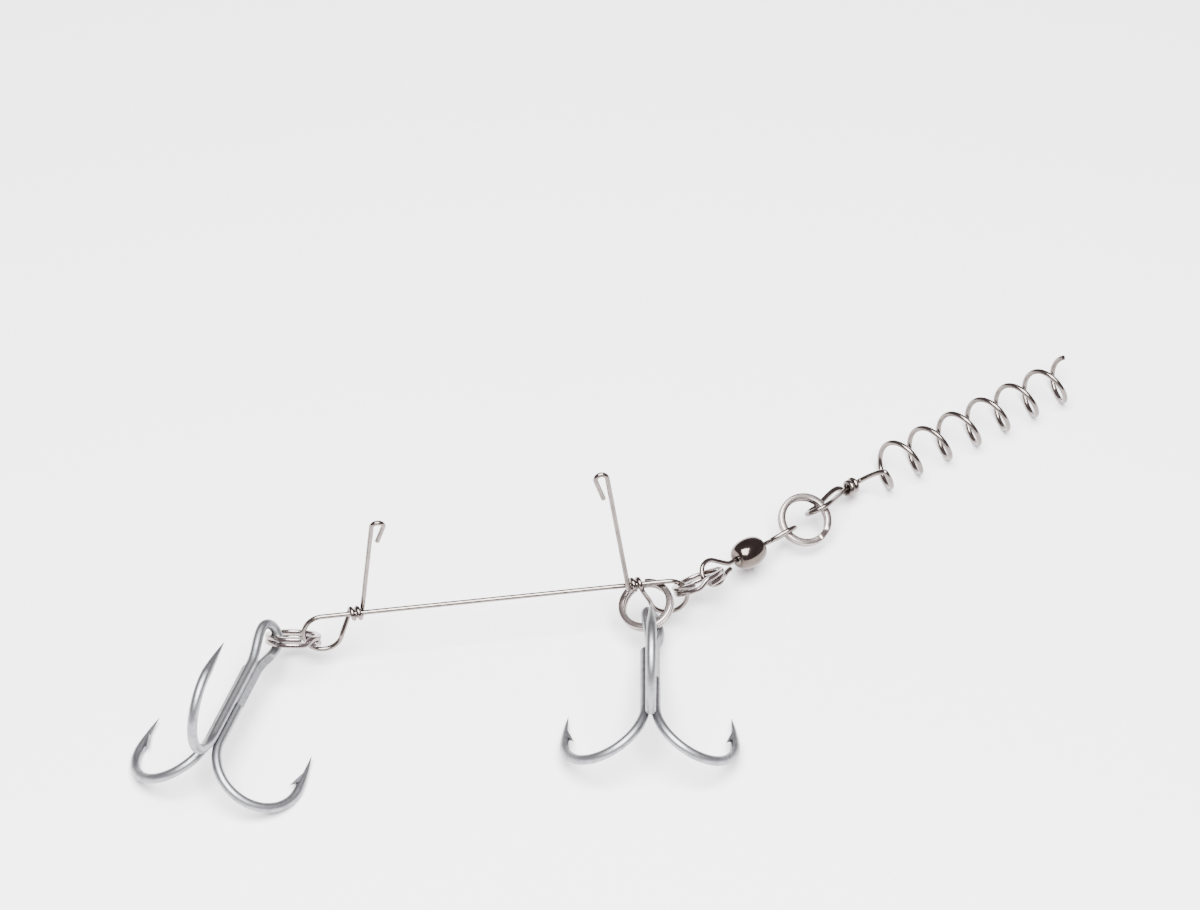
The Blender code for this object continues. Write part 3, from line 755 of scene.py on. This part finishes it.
    def eye_path(self) -> list[Vector]:
        """The centreline from the first shank round the eye to the second.

        Returns:
            Its points, without the shanks' own ends.
        """
        waist = self.spacing / 2
        legs = []
        for i in range(1, self.neck_steps):
            share = i / self.neck_steps
            across = waist + (self.eye_radius - waist) * ease(share)
            legs.append((across, self.neck_height + (self.eye_height - self.neck_height) * share))
        crown = []
        for i in range(ARC_STEPS + 1):
            turn = math.pi * i / ARC_STEPS
            height = self.eye_height + self.eye_radius * math.sin(turn)
            crown.append((self.eye_radius * math.cos(turn), height))
        outline = legs + crown + [(-across, height) for across, height in legs[::-1]]
        return [self.eye_place(across, height) for across, height in outline]

    def flat_cutter(self) -> bpy.types.Object:
        """What the press takes off the second shank: a flat that runs out in a short ramp.

        Returns:
            The cutter.
        """
        surface = self.offset / 2 + self.wire / 2
        edge, outside = surface + 1.2 * self.flat_depth, surface + 3 * self.flat_depth
        low, high = self.flat_low - self.flat_ramp, self.flat_high + 2 * self.flat_ramp
        profile = [
            (self.flat_level, self.flat_low + 0.1 * self.flat_ramp),
            (edge, low),
            (outside, low),
            (outside, high),
            (edge, high),
            (self.flat_level, self.flat_high),
        ]
        rings = []
        for across in self.flat_across:
            rings.append([
                self.round_shank(self.eye_way, across, z) + self.round_shank(self.web_way, n, 0)
                for n, z in profile
            ])
        return loft(f"{self.prefix}_flat", rings, self.matrix)

    def dress_flat(self, hook: bpy.types.Object) -> None:
        """Gives the pressed faces the matt finish.

        Args:
            hook: the double hook, with its flat cut.
        """
        square_on, near = 0.995, 0.02 * MM
        hook.data.materials.append(PRESSED_TIN.material())
        facing = (self.matrix.to_3x3() @ self.round_shank(self.web_way, 1, 0)).normalized()
        origin = self.matrix.translation
        for face in hook.data.polygons:
            height = (face.center - origin).dot(facing)
            if face.normal.dot(facing) > square_on and abs(height - self.flat_level) < near:
                face.material_index = len(hook.data.materials) - 1

    def sweep(
        self, drawer: WireDrawer, name: str, path: list[Vector], shares: list[float]
    ) -> bpy.types.Object:
        """Draws one of the hooks' wires in the CAD's frame.

        Args:
            drawer: sweeps round wire.
            name: the new object's name.
            path: the centreline in the hook's own axes.
            shares: each point's share of the section.

        Returns:
            The wire.
        """
        moved = [self.matrix @ point for point in path]
        return drawer.draw(name, moved, TIN_PLATE, self.wire, sides=self.wire_sides, shares=shares)

    def build_double(self, drawer: WireDrawer) -> None:
        """The first two hooks and the eye, bent from one wire and pressed flat beside the braze.

        Args:
            drawer: sweeps round wire.
        """
        name = f"{self.prefix}_double_hook"
        first, thick = self.hook_arm(0, self.neck_height)
        second, _ = self.hook_arm(self.second, self.neck_height)
        eye = self.eye_path()
        shares = thick[::-1] + [1.0] * len(eye) + thick
        hook = self.sweep(drawer, name, first[::-1] + eye + second, shares)
        hook = carve(hook, [
            ("UNION", self.barb(0)),
            ("UNION", self.barb(self.second)),
            ("DIFFERENCE", self.flat_cutter()),
        ])
        self.dress_flat(hook)
        crease(hook)
        hand_over(hook, self.body, name)

    def build_single(self, drawer: WireDrawer) -> None:
        """The third hook, with its shank's end rounded over.

        Args:
            drawer: sweeps round wire.
        """
        name = f"{self.prefix}_single_hook"
        path, shares = self.hook_arm(self.single, self.single_height)
        path = [path[0] - drop * UP for drop, _ in self.single_end] + path[1:]
        shares = [share for _, share in self.single_end] + shares[1:]
        hook = carve(self.sweep(drawer, name, path, shares), [("UNION", self.barb(self.single))])
        crease(hook)
        hand_over(hook, self.body, name)

    def braze_ring(self, share: float) -> list[Vector]:
        """One section of the braze, with a hollow face between each two shanks.

        Args:
            share: how far up the braze it is, from 0 to 1.

        Returns:
            The points round it.
        """
        fills = {self.web_way: self.web_fill, 180.0: self.fillet_fill, 300.0: self.fillet_fill}
        height = self.flat_low + (self.braze_high - self.flat_low) * share
        full = 1 - self.braze_shrink * (2 * share - 1) ** 8
        ring = []
        for azimuth in range(0, 360, 60):
            if azimuth not in fills:
                ring.append(self.round_shank(azimuth, self.offset, height))
                continue
            reach = full * fills[azimuth]
            for way in (-1.0, -0.5, 0.0, 0.5, 1.0):
                hollow = self.braze_hollow * (1 - way * way)
                aside = self.round_shank(azimuth + 90, way * self.braze_lip, 0)
                ring.append(self.round_shank(azimuth, reach - hollow, height) + aside)
        return ring

    def build_braze(self) -> None:
        """The filler between the shanks, drawn in a little at both ends."""
        name = f"{self.prefix}_braze"
        rings = [self.braze_ring(i / self.braze_steps) for i in range(self.braze_steps + 1)]
        filler = loft(name, rings, self.matrix)
        length = self.braze_high - self.flat_low
        cuts = []
        for azimuth in (0.0, self.second, self.single):
            bpy.ops.mesh.primitive_cylinder_add(
                vertices=96, radius=self.wire / 2 + self.shank_play, depth=2 * length
            )
            shank = bpy.context.object
            middle = self.round_shank(azimuth, self.offset, self.flat_low + length / 2)
            shank.matrix_world = self.matrix @ Matrix.Translation(middle)
            cuts.append(("DIFFERENCE", shank))
        filler = carve(filler, cuts)
        filler.data.materials.clear()
        filler.data.materials.append(PRESSED_TIN.material())
        crease(filler)
        hand_over(filler, self.body, name)

    def build(self, drawer: WireDrawer) -> None:
        """Builds the hook's three pieces.

        Args:
            drawer: sweeps round wire.
        """
        self.build_double(drawer)
        self.build_single(drawer)
        self.build_braze()


# ---------------------------------------------------------------- wire loops

@dataclass
class Loop:
    """A drop-shaped loop whose one side runs on along a straight wire, from its point outwards."""

    point: Vector
    out: Vector
    belly: Vector
    radius: float
    half_angle: float
    tail_pull: float = 0.9  # how far the strand that comes back holds its line, as a share of reach

    def __post_init__(self) -> None:
        """Works out the round end's centre and the side that comes back."""
        self.reach = self.radius / math.tan(self.half_angle)
        self.centre = self.point + self.reach * self.out + self.radius * self.belly
        self.back = math.cos(2 * self.half_angle) * self.out + math.sin(2 * self.half_angle) * self.belly

    def on_round(self, angle: float) -> Vector:
        """A place on the round end: 90 degrees is where the straight wire meets it."""
        turn = math.radians(angle)
        return self.centre + self.radius * (math.cos(turn) * self.out - math.sin(turn) * self.belly)

    def round_end(self) -> list[Vector]:
        """The round end from the straight wire to the side that comes back.

        Returns:
            Its points.
        """
        meet = self.point + self.reach * self.back - self.centre
        last = math.atan2(-meet.dot(self.belly), meet.dot(self.out))
        last -= 2 * math.pi if last > math.pi / 2 else 0
        return arc(self.centre, self.out, -self.belly, self.radius, math.pi / 2, last, 2 * ARC_STEPS)

    def with_tail(self, turned: list[Vector]) -> list[Vector]:
        """The loop's round end, the strand that comes back and the tail's turns.

        Args:
            turned: the turns' points.

        Returns:
            All the points in order.
        """
        end = self.round_end()
        pull = self.tail_pull * self.reach
        into = (turned[1] - turned[0]).normalized()
        return end + hermite(end[-1], -pull * self.back, turned[0], pull * into, STRAND_STEPS) + turned


@dataclass
class Wrapped:
    """How a tail is wrapped round the wire that it closes on."""

    wire: float
    gap: float = 0.25 * MM
    clearance: float = 0.06 * MM
    standoff: float = 0.4 * MM

    def turns(
        self, start: Vector, along: Vector, x_axis: Vector, y_axis: Vector, count: float
    ) -> list[Vector]:
        """The tail's turns round a straight wire.

        Args:
            start, along: where the straight wire starts, and its direction.
            x_axis, y_axis: the side that the tail comes in on, and the side that it turns towards.
            count: how many turns.

        Returns:
            The turns' points.
        """
        begin = start + self.standoff * along
        return helix(begin, along, x_axis, y_axis, self.wire + self.clearance, self.wire + self.gap, count)


@dataclass
class Stinger:
    """One wire: a spike, its turns, the rear loop, the spine, the front loop, its turns and a spike.

    Its own axes have the spine along X from the rear loop's point.
    """

    wire: float = 0.8 * MM
    spine: float = 48.8 * MM
    spine_height: float = 9.72 * MM
    spine_aim: float = -25.9
    loop_radius: float = 3.15 * MM
    half_angle: float = math.radians(36.5)
    leans: tuple[float, float] = (math.radians(14.6), math.radians(10.6))
    ring_angle: float = -8.0  # where on the rear loop's round end its ring hangs, in degrees
    wraps: int = 2
    spike: float = 23.0 * MM
    spike_base: float = 1.2 * MM
    spike_steps: int = 14
    hook_radius: float = 0.95 * MM
    hook_leg: float = 4.0 * MM
    hook_tuck: float = 0.7 * MM
    rear_lean: tuple[float, float, float] = (0.098, -0.142, 0.985)
    front_lean: tuple[float, float, float] = (-0.132, 0.161, 0.978)
    chamfer: float = 0.07 * MM

    def __post_init__(self) -> None:
        """Places the wire so that its rear ring hangs at that ring's hinge."""
        forward = Vector((1, 0, 0))
        bellies = [Vector((0, -math.sin(lean), -math.cos(lean))) for lean in self.leans]
        self.rear = Loop(Vector((0, 0, 0)), -forward, bellies[0], self.loop_radius, self.half_angle)
        self.front = Loop(self.spine * forward, forward, bellies[1], self.loop_radius, self.half_angle)
        turn = axes(aim(self.spine_aim, 0), UP)
        held = turn @ self.rear.on_round(self.ring_angle)
        self.matrix = placed(turn, hinge("rear_ring_swing") - held)

    def spike_path(self, foot: Vector, leaving: Vector, lean: Vector, hook_way: Vector) -> list[Vector]:
        """A spike from the last turn's end, and the small hook at its top.

        Args:
            foot, leaving: where the last turn ends, and its direction there.
            lean: the way that the spike stands.
            hook_way: the side that its top is bent over to.

        Returns:
            The points after the foot.
        """
        up = lean.normalized()
        straight, top = foot + self.spike_base * up, foot + self.spike * up
        base = hermite(foot, self.spike_base * leaving, straight, self.spike_base * up, self.spike_steps)
        across = (hook_way - hook_way.dot(up) * up).normalized()
        crook = arc(top + self.hook_radius * across, -across, up, self.hook_radius, 0, math.pi, ARC_STEPS)
        end = crook[-1] - self.hook_leg * up - self.hook_tuck * across
        return base + [straight] + crook + [end]

    def build(self, drawer: WireDrawer) -> None:
        """Bends the whole wire.

        Args:
            drawer: sweeps round wire.
        """
        forward = Vector((1, 0, 0))
        wrapped = Wrapped(self.wire)
        ends = []
        for loop, side, lean, hook_way in (
            (self.rear, forward.cross(self.rear.belly), self.rear_lean, forward),
            (self.front, self.front.belly.cross(forward), self.front_lean, -forward),
        ):
            turned = wrapped.turns(loop.point, -loop.out, side, -loop.belly, self.wraps)
            points = loop.with_tail(turned)
            leaving = (points[-1] - points[-2]).normalized()
            ends.append(points + self.spike_path(points[-1], leaving, Vector(lean), hook_way))
        path = [self.matrix @ point for point in ends[0][::-1] + ends[1]]
        path, shares = with_cut_end(path, self.chamfer)
        wire = drawer.draw("stinger_wire", path, DRAWN_STAINLESS, self.wire, shares=shares)
        hand_over(wire, "stinger", "stinger_wire")


# ---------------------------------------------------------------- swivel

@dataclass
class BarrelSwivel:
    """A hollow barrel with a wire eye in each end, which turns on its headed stem."""

    swivel_aim: tuple[float, float] = (6.7, -6.0)
    rear_normal: tuple[float, float] = (-76.1, 50.1)
    front_normal: tuple[float, float] = (-87.2, -32.9)
    wire: float = 0.85 * MM
    shy: float = 0.012 * MM  # taken off all round, so that the link clears over its whole swing
    barrel_diameter: float = 5.1 * MM
    barrel_length: float = 5.6 * MM
    outside_steps: int = 40
    wall: float = 0.6 * MM
    nose: float = 1.2 * MM
    bore_clearance: float = 0.05 * MM
    bore_break: float = 0.12 * MM
    head_radius: float = 1.05 * MM
    head_length: float = 1.1 * MM
    head_room: float = 0.2 * MM
    eye_radius: float = 2.1 * MM
    eye_opening: float = math.radians(55)
    crown_pull: float = 1.4  # how the eye's sides leave its round end, as a share of its radius
    neck_pull: float = 0.8  # how they come in to the neck, as a share of it too
    side_steps: int = 20
    throat: float = 3.9 * MM
    stem: float = 1.5 * MM
    tuck: float = 0.06 * MM
    tail_short: float = 0.3 * MM
    chamfer: float = 0.06 * MM
    eye_slack: float = 0.4 * MM

    def __post_init__(self) -> None:
        """Works out the three pieces' middles from the rear eye's hinge."""
        self.along = aim(*self.swivel_aim)
        self.half = self.throat + self.stem + self.barrel_length / 2
        self.head_near = self.half - self.barrel_length / 2 + self.wall + self.bore_clearance
        room = self.eye_radius - self.wire / 2 - RING_BAND / 2 - LINK_GAP - self.eye_slack
        self.first = hinge("swivel_rear_eye_swing") + room * self.along
        self.middle = self.first + self.half * self.along
        self.last = self.middle + self.half * self.along

    def eye_path(self) -> list[Vector]:
        """An eye's centreline: the stem, the round and the tucked end.

        Returns:
            Its points, with the eye's centre at the origin and the stem along X.
        """
        radius, neck = self.eye_radius, self.throat
        x, y = Vector((1, 0, 0)), Vector((0, 1, 0))
        path = [(self.head_near + self.head_length / 2) * x, (neck + self.stem / 2) * x]
        first, last = self.eye_opening, 2 * math.pi - self.eye_opening
        crown = arc(Vector((0, 0, 0)), x, y, radius, first, last, 2 * ARC_STEPS)
        pull = self.crown_pull * radius
        leaving = Vector((math.sin(first), -math.cos(first), 0))
        path.append(neck * x)
        path += hermite(neck * x, -self.neck_pull * radius * x, crown[0], -pull * leaving, self.side_steps)
        tail = (neck - self.tail_short) * x - (self.wire + self.tuck) * y
        back = pull * Vector((leaving.x, -leaving.y, 0))
        path += crown
        path += hermite(crown[-1], back, tail, self.neck_pull * radius * x, self.side_steps)
        return path + [tail]

    def build_eye(self, drawer: WireDrawer, name: str, matrix: Matrix) -> None:
        """Bends one eye and upsets the head on its stem.

        Args:
            drawer: sweeps round wire.
            name: the eye's node, which is its body's name too.
            matrix: from the eye's own axes to the CAD's frame.
        """
        path, shares = with_cut_end([matrix @ point for point in self.eye_path()], self.chamfer)
        shares[0] = 1.0  # this end is inside the head
        eye = drawer.draw(name, path, DRAWN_STAINLESS, self.wire - 2 * self.shy, shares=shares)
        bpy.ops.mesh.primitive_cylinder_add(vertices=64, radius=self.head_radius, depth=self.head_length)
        head = bpy.context.object
        middle = Matrix.Translation((self.head_near + self.head_length / 2, 0, 0))
        head.matrix_world = matrix @ (middle @ Matrix.Rotation(math.pi / 2, 4, "Y"))
        eye = carve(eye, [("UNION", head)])
        crease(eye)
        hand_over(eye, name, name)

    def barrel_profile(self) -> list[tuple[float, float]]:
        """Half of the barrel's section, with its noses rolled over and its bores broken.

        Returns:
            The radius and height of each point round it.
        """
        half, bulge = self.barrel_length / 2, self.barrel_diameter / 2
        outside = []
        for i in range(self.outside_steps + 1):
            height = half * math.cos(math.pi * i / self.outside_steps)
            swell = math.sqrt(max(0.0, 1 - (height / half) ** 2))
            outside.append((self.nose + (bulge - self.nose) * swell, height))
        bore = self.wire / 2 + self.bore_clearance
        mouth, depth = bore + self.bore_break, half - self.bore_break
        cavity = half - self.wall
        hollow = self.head_radius + 2 * self.bore_clearance + self.head_room
        inside = [
            (mouth, -half), (bore, -depth), (bore, -cavity), (hollow, -cavity),
            (hollow, cavity), (bore, cavity), (bore, depth), (mouth, half),
        ]
        return outside + inside

    def build_barrel(self) -> None:
        """Turns the barrel about its axis."""
        profile = self.barrel_profile()
        data = bpy.data.meshes.new("swivel_barrel")
        count = len(profile)
        data.from_pydata([(r, 0, z) for r, z in profile], [(i, (i + 1) % count) for i in range(count)], [])
        barrel = bpy.data.objects.new("swivel_barrel", data)
        bpy.context.scene.collection.objects.link(barrel)
        barrel.matrix_world = placed(axes(UP, self.along), self.middle)
        turned = barrel.modifiers.new("turned", "SCREW")
        turned.axis = "Z"
        turned.steps = turned.render_steps = 96
        turned.use_merge_vertices = True
        turned.merge_threshold = 1e-6
        barrel = settle(barrel)
        barrel.data.materials.append(BLACK_NICKEL.material())
        crease(barrel, 50)
        hand_over(barrel, "barrel", "swivel_barrel")

    def build(self, drawer: WireDrawer) -> None:
        """Builds both eyes and the barrel.

        Args:
            drawer: sweeps round wire.
        """
        rear = placed(axes(self.along, aim(*self.rear_normal)), self.first)
        front = placed(axes(-self.along, aim(*self.front_normal)), self.last)
        self.build_eye(drawer, "swivel_rear_eye", rear)
        self.build_eye(drawer, "swivel_front_eye", front)
        self.build_barrel()


# ---------------------------------------------------------------- corkscrew

@dataclass
class Corkscrew:
    """One wire: a wrapped tail, the loop that the ring holds, and the coil that turns into the lure."""

    ground: float  # the height that the coil lies on
    wire: float = 0.9 * MM
    coil_radius: float = 3.5 * MM
    pitch: float = 6.4 * MM
    start_turn: float = -0.30
    end_turn: float = 6.45
    phase: float = math.radians(-20.8)
    loop_radius: float = 2.35 * MM
    half_angle: float = math.radians(18)
    wraps: float = 2.25
    loop_aim: tuple[float, float] = (16.1, -12.4)
    loop_normal: tuple[float, float] = (-85.3, -42.1)
    coil_from_loop: tuple[float, float] = (8.8 * MM, 0.5 * MM)
    strand_pulls: tuple[float, float] = (0.8, 0.5)  # from the loop and to its point, in its reach
    rise_pull: float = 0.8  # how the rise comes in to the coil, in the coil's radius
    rise_steps: int = 36
    slack: float = 1.6 * MM
    across: float = 0.3 * MM
    chamfer: float = 0.07 * MM

    def __post_init__(self) -> None:
        """Works out the loop's point from its hinge on the ring's band."""
        self.along = aim(*self.loop_aim)
        self.side = aim(*self.loop_normal).cross(self.along).normalized()
        self.normal = self.along.cross(self.side)
        far = self.loop_radius / math.sin(self.half_angle) + self.loop_radius
        room = self.wire / 2 + RING_BAND / 2 + LINK_GAP
        held = hinge("corkscrew_screw_swing")
        self.point = held + (far - room - self.slack) * self.along - self.across * self.side

    def coil(self) -> list[Vector]:
        """The right-handed coil along +X, which lies on the ground.

        Returns:
            Its points.
        """
        start = self.point + Vector((*self.coil_from_loop, 0))
        start.z = self.ground + self.coil_radius + self.wire / 2
        turns = self.end_turn - self.start_turn
        count = round(turns * TURN_STEPS)
        points = []
        for i in range(count + 1):
            turn = self.start_turn + turns * i / count
            angle = 2 * math.pi * turn + self.phase
            spoke = self.coil_radius * Vector((0, math.sin(angle), -math.cos(angle)))
            points.append(start + Vector((turn * self.pitch, 0, 0)) + spoke)
        return points

    def path(self) -> list[Vector]:
        """The whole centreline from the tail's cut end to the tip.

        Returns:
            Its points.
        """
        half = self.half_angle
        out = -math.cos(half) * self.along + math.sin(half) * self.side
        belly = -math.sin(half) * self.along - math.cos(half) * self.side
        loop = Loop(self.point, out, belly, self.loop_radius, half)
        wrapped = Wrapped(self.wire)
        turned = wrapped.turns(self.point, self.along, -self.side, self.normal, self.wraps)
        tail = loop.with_tail(turned)[::-1]
        past = wrapped.standoff + self.wraps * (self.wire + wrapped.gap) + self.wire
        clear = self.point + past * self.along
        pulls = [share * loop.reach for share in self.strand_pulls]
        leave, arrive = -pulls[0] * out, pulls[1] * self.along
        straight = hermite(tail[-1], leave, self.point, arrive, STRAND_STEPS)
        coil = self.coil()
        leaving = (coil[1] - coil[0]).normalized()
        leave, arrive = self.coil_radius * self.along, self.rise_pull * self.coil_radius * leaving
        rise = hermite(clear, leave, coil[0], arrive, self.rise_steps)
        return tail + straight + [self.point, clear] + rise + coil

    def build(self, drawer: WireDrawer) -> None:
        """Bends the whole wire.

        Args:
            drawer: sweeps round wire.
        """
        path, shares = with_cut_end(self.path(), self.chamfer)
        wire = drawer.draw("corkscrew", path, DRAWN_STAINLESS, self.wire, shares=shares)
        hand_over(wire, "corkscrew_screw", "corkscrew")


# ---------------------------------------------------------------- the table, the light and the camera

@dataclass
class Studio:
    """A white table under one wide soft light, in a dim room of one even grey."""

    camera_azimuth: float = 56.13
    camera_elevation: float = 45.0
    distance: float = 608.6 * MM
    aside: tuple[float, float] = (60.2 * MM, 15.6 * MM)  # the view's middle, from the rear loop
    sensor: float = 36.0
    lens: float = 104.42
    clip: tuple[float, float] = (0.01, 20.0)
    lamp_elevation: float = 70.0
    lamp_distance: float = 0.75
    lamp_size: float = 0.6
    lamp_power: float = 36.0
    room_grey: str = "#7B7276"
    room_strength: float = 1.9

    def place_camera(self, looks_at: Vector) -> None:
        """Stands the camera back from the point that it looks at.

        Args:
            looks_at: the point.
        """
        data = bpy.data.cameras.new("camera")
        data.sensor_width = self.sensor
        data.lens = self.lens
        data.clip_start, data.clip_end = self.clip
        camera = bpy.data.objects.new("camera", data)
        bpy.context.scene.collection.objects.link(camera)
        back = aim(self.camera_azimuth + 180, self.camera_elevation)
        camera.location = looks_at + self.distance * back
        camera.rotation_euler = back.to_track_quat("Z", "Y").to_euler()
        bpy.context.scene.camera = camera

    def hang_lamp(self, looks_at: Vector) -> None:
        """Hangs the square soft light on the camera's side of the table.

        Args:
            looks_at: the point that it faces.
        """
        data = bpy.data.lights.new("overhead", "AREA")
        data.shape = "SQUARE"
        data.size = self.lamp_size
        data.energy = self.lamp_power
        lamp = bpy.data.objects.new("overhead", data)
        bpy.context.scene.collection.objects.link(lamp)
        place = looks_at + self.lamp_distance * aim(self.camera_azimuth + 180, self.lamp_elevation)
        lamp.location = place
        lamp.rotation_euler = (place - looks_at).to_track_quat("Z", "Y").to_euler()

    def surroundings(self) -> None:
        """The dim room, which is what the metal's dark bands reflect."""
        world = bpy.data.worlds.new("studio")
        world.use_nodes = True
        bpy.context.scene.world = world
        shade = world.node_tree.nodes["Background"]
        shade.inputs["Color"].default_value = colour(self.room_grey)
        shade.inputs["Strength"].default_value = self.room_strength

    def build(self, looks_at: Vector) -> None:
        """Lays the floor and sets the light and the camera.

        Args:
            looks_at: the middle of the view, on the floor.
        """
        PaperFloor().lay()
        self.surroundings()
        self.hang_lamp(looks_at)
        self.place_camera(looks_at)


# ---------------------------------------------------------------- the rig

def split_rings() -> list[SplitRing]:
    """The four split rings, from the rear treble hook to the corkscrew."""
    return [
        SplitRing(
            "rear_split_ring", joint="rear_ring_swing", body="rear_ring",
            normal=(53.0, 51.9), hook_angle=-128.9, split_angle=150, slack=0.59 * MM,
        ),
        SplitRing(
            "front_split_ring", joint="front_ring_swing", body="front_ring",
            normal=(-168.6, 68.4), hook_angle=123.8, split_angle=168, slack=1.27 * MM,
        ),
        SplitRing(
            "swivel_split_ring", joint="swivel_ring_swing", body="swivel_ring",
            normal=(89.2, 47.3), hook_angle=-7.0, split_angle=90, slack=0.44 * MM,
        ),
        SplitRing(
            "corkscrew_split_ring", joint="corkscrew_ring_swing", body="corkscrew_ring",
            normal=(-98.0, 61.4), hook_angle=-163.5, split_angle=-40, slack=0.35 * MM,
            held_wire=0.85 * MM,
        ),
    ]


def main() -> None:
    """Builds every piece of the rig and its table."""
    logging.basicConfig(level=logging.INFO, format="%(message)s")
    round_wire, flat_wire = WireDrawer(Section.ROUND), WireDrawer(Section.FLAT)
    stinger = Stinger()
    stinger.build(round_wire)
    for ring in split_rings():
        ring.build(flat_wire)
    TrebleHook("rear", shank_aim=(38.3, 0.0), eye_pass=(-0.35 * MM, 22.1 * MM)).build(round_wire)
    TrebleHook("front", shank_aim=(55.5, -12.7), eye_pass=(0.25 * MM, 21.4 * MM)).build(round_wire)
    BarrelSwivel().build(round_wire)
    Corkscrew(ground=stinger.matrix.translation.z - stinger.spine_height).build(round_wire)
    studio = Studio()
    studio.build(stinger.matrix.translation + Vector((*studio.aside, -stinger.spine_height)))


if __name__ == "__main__":
    main()
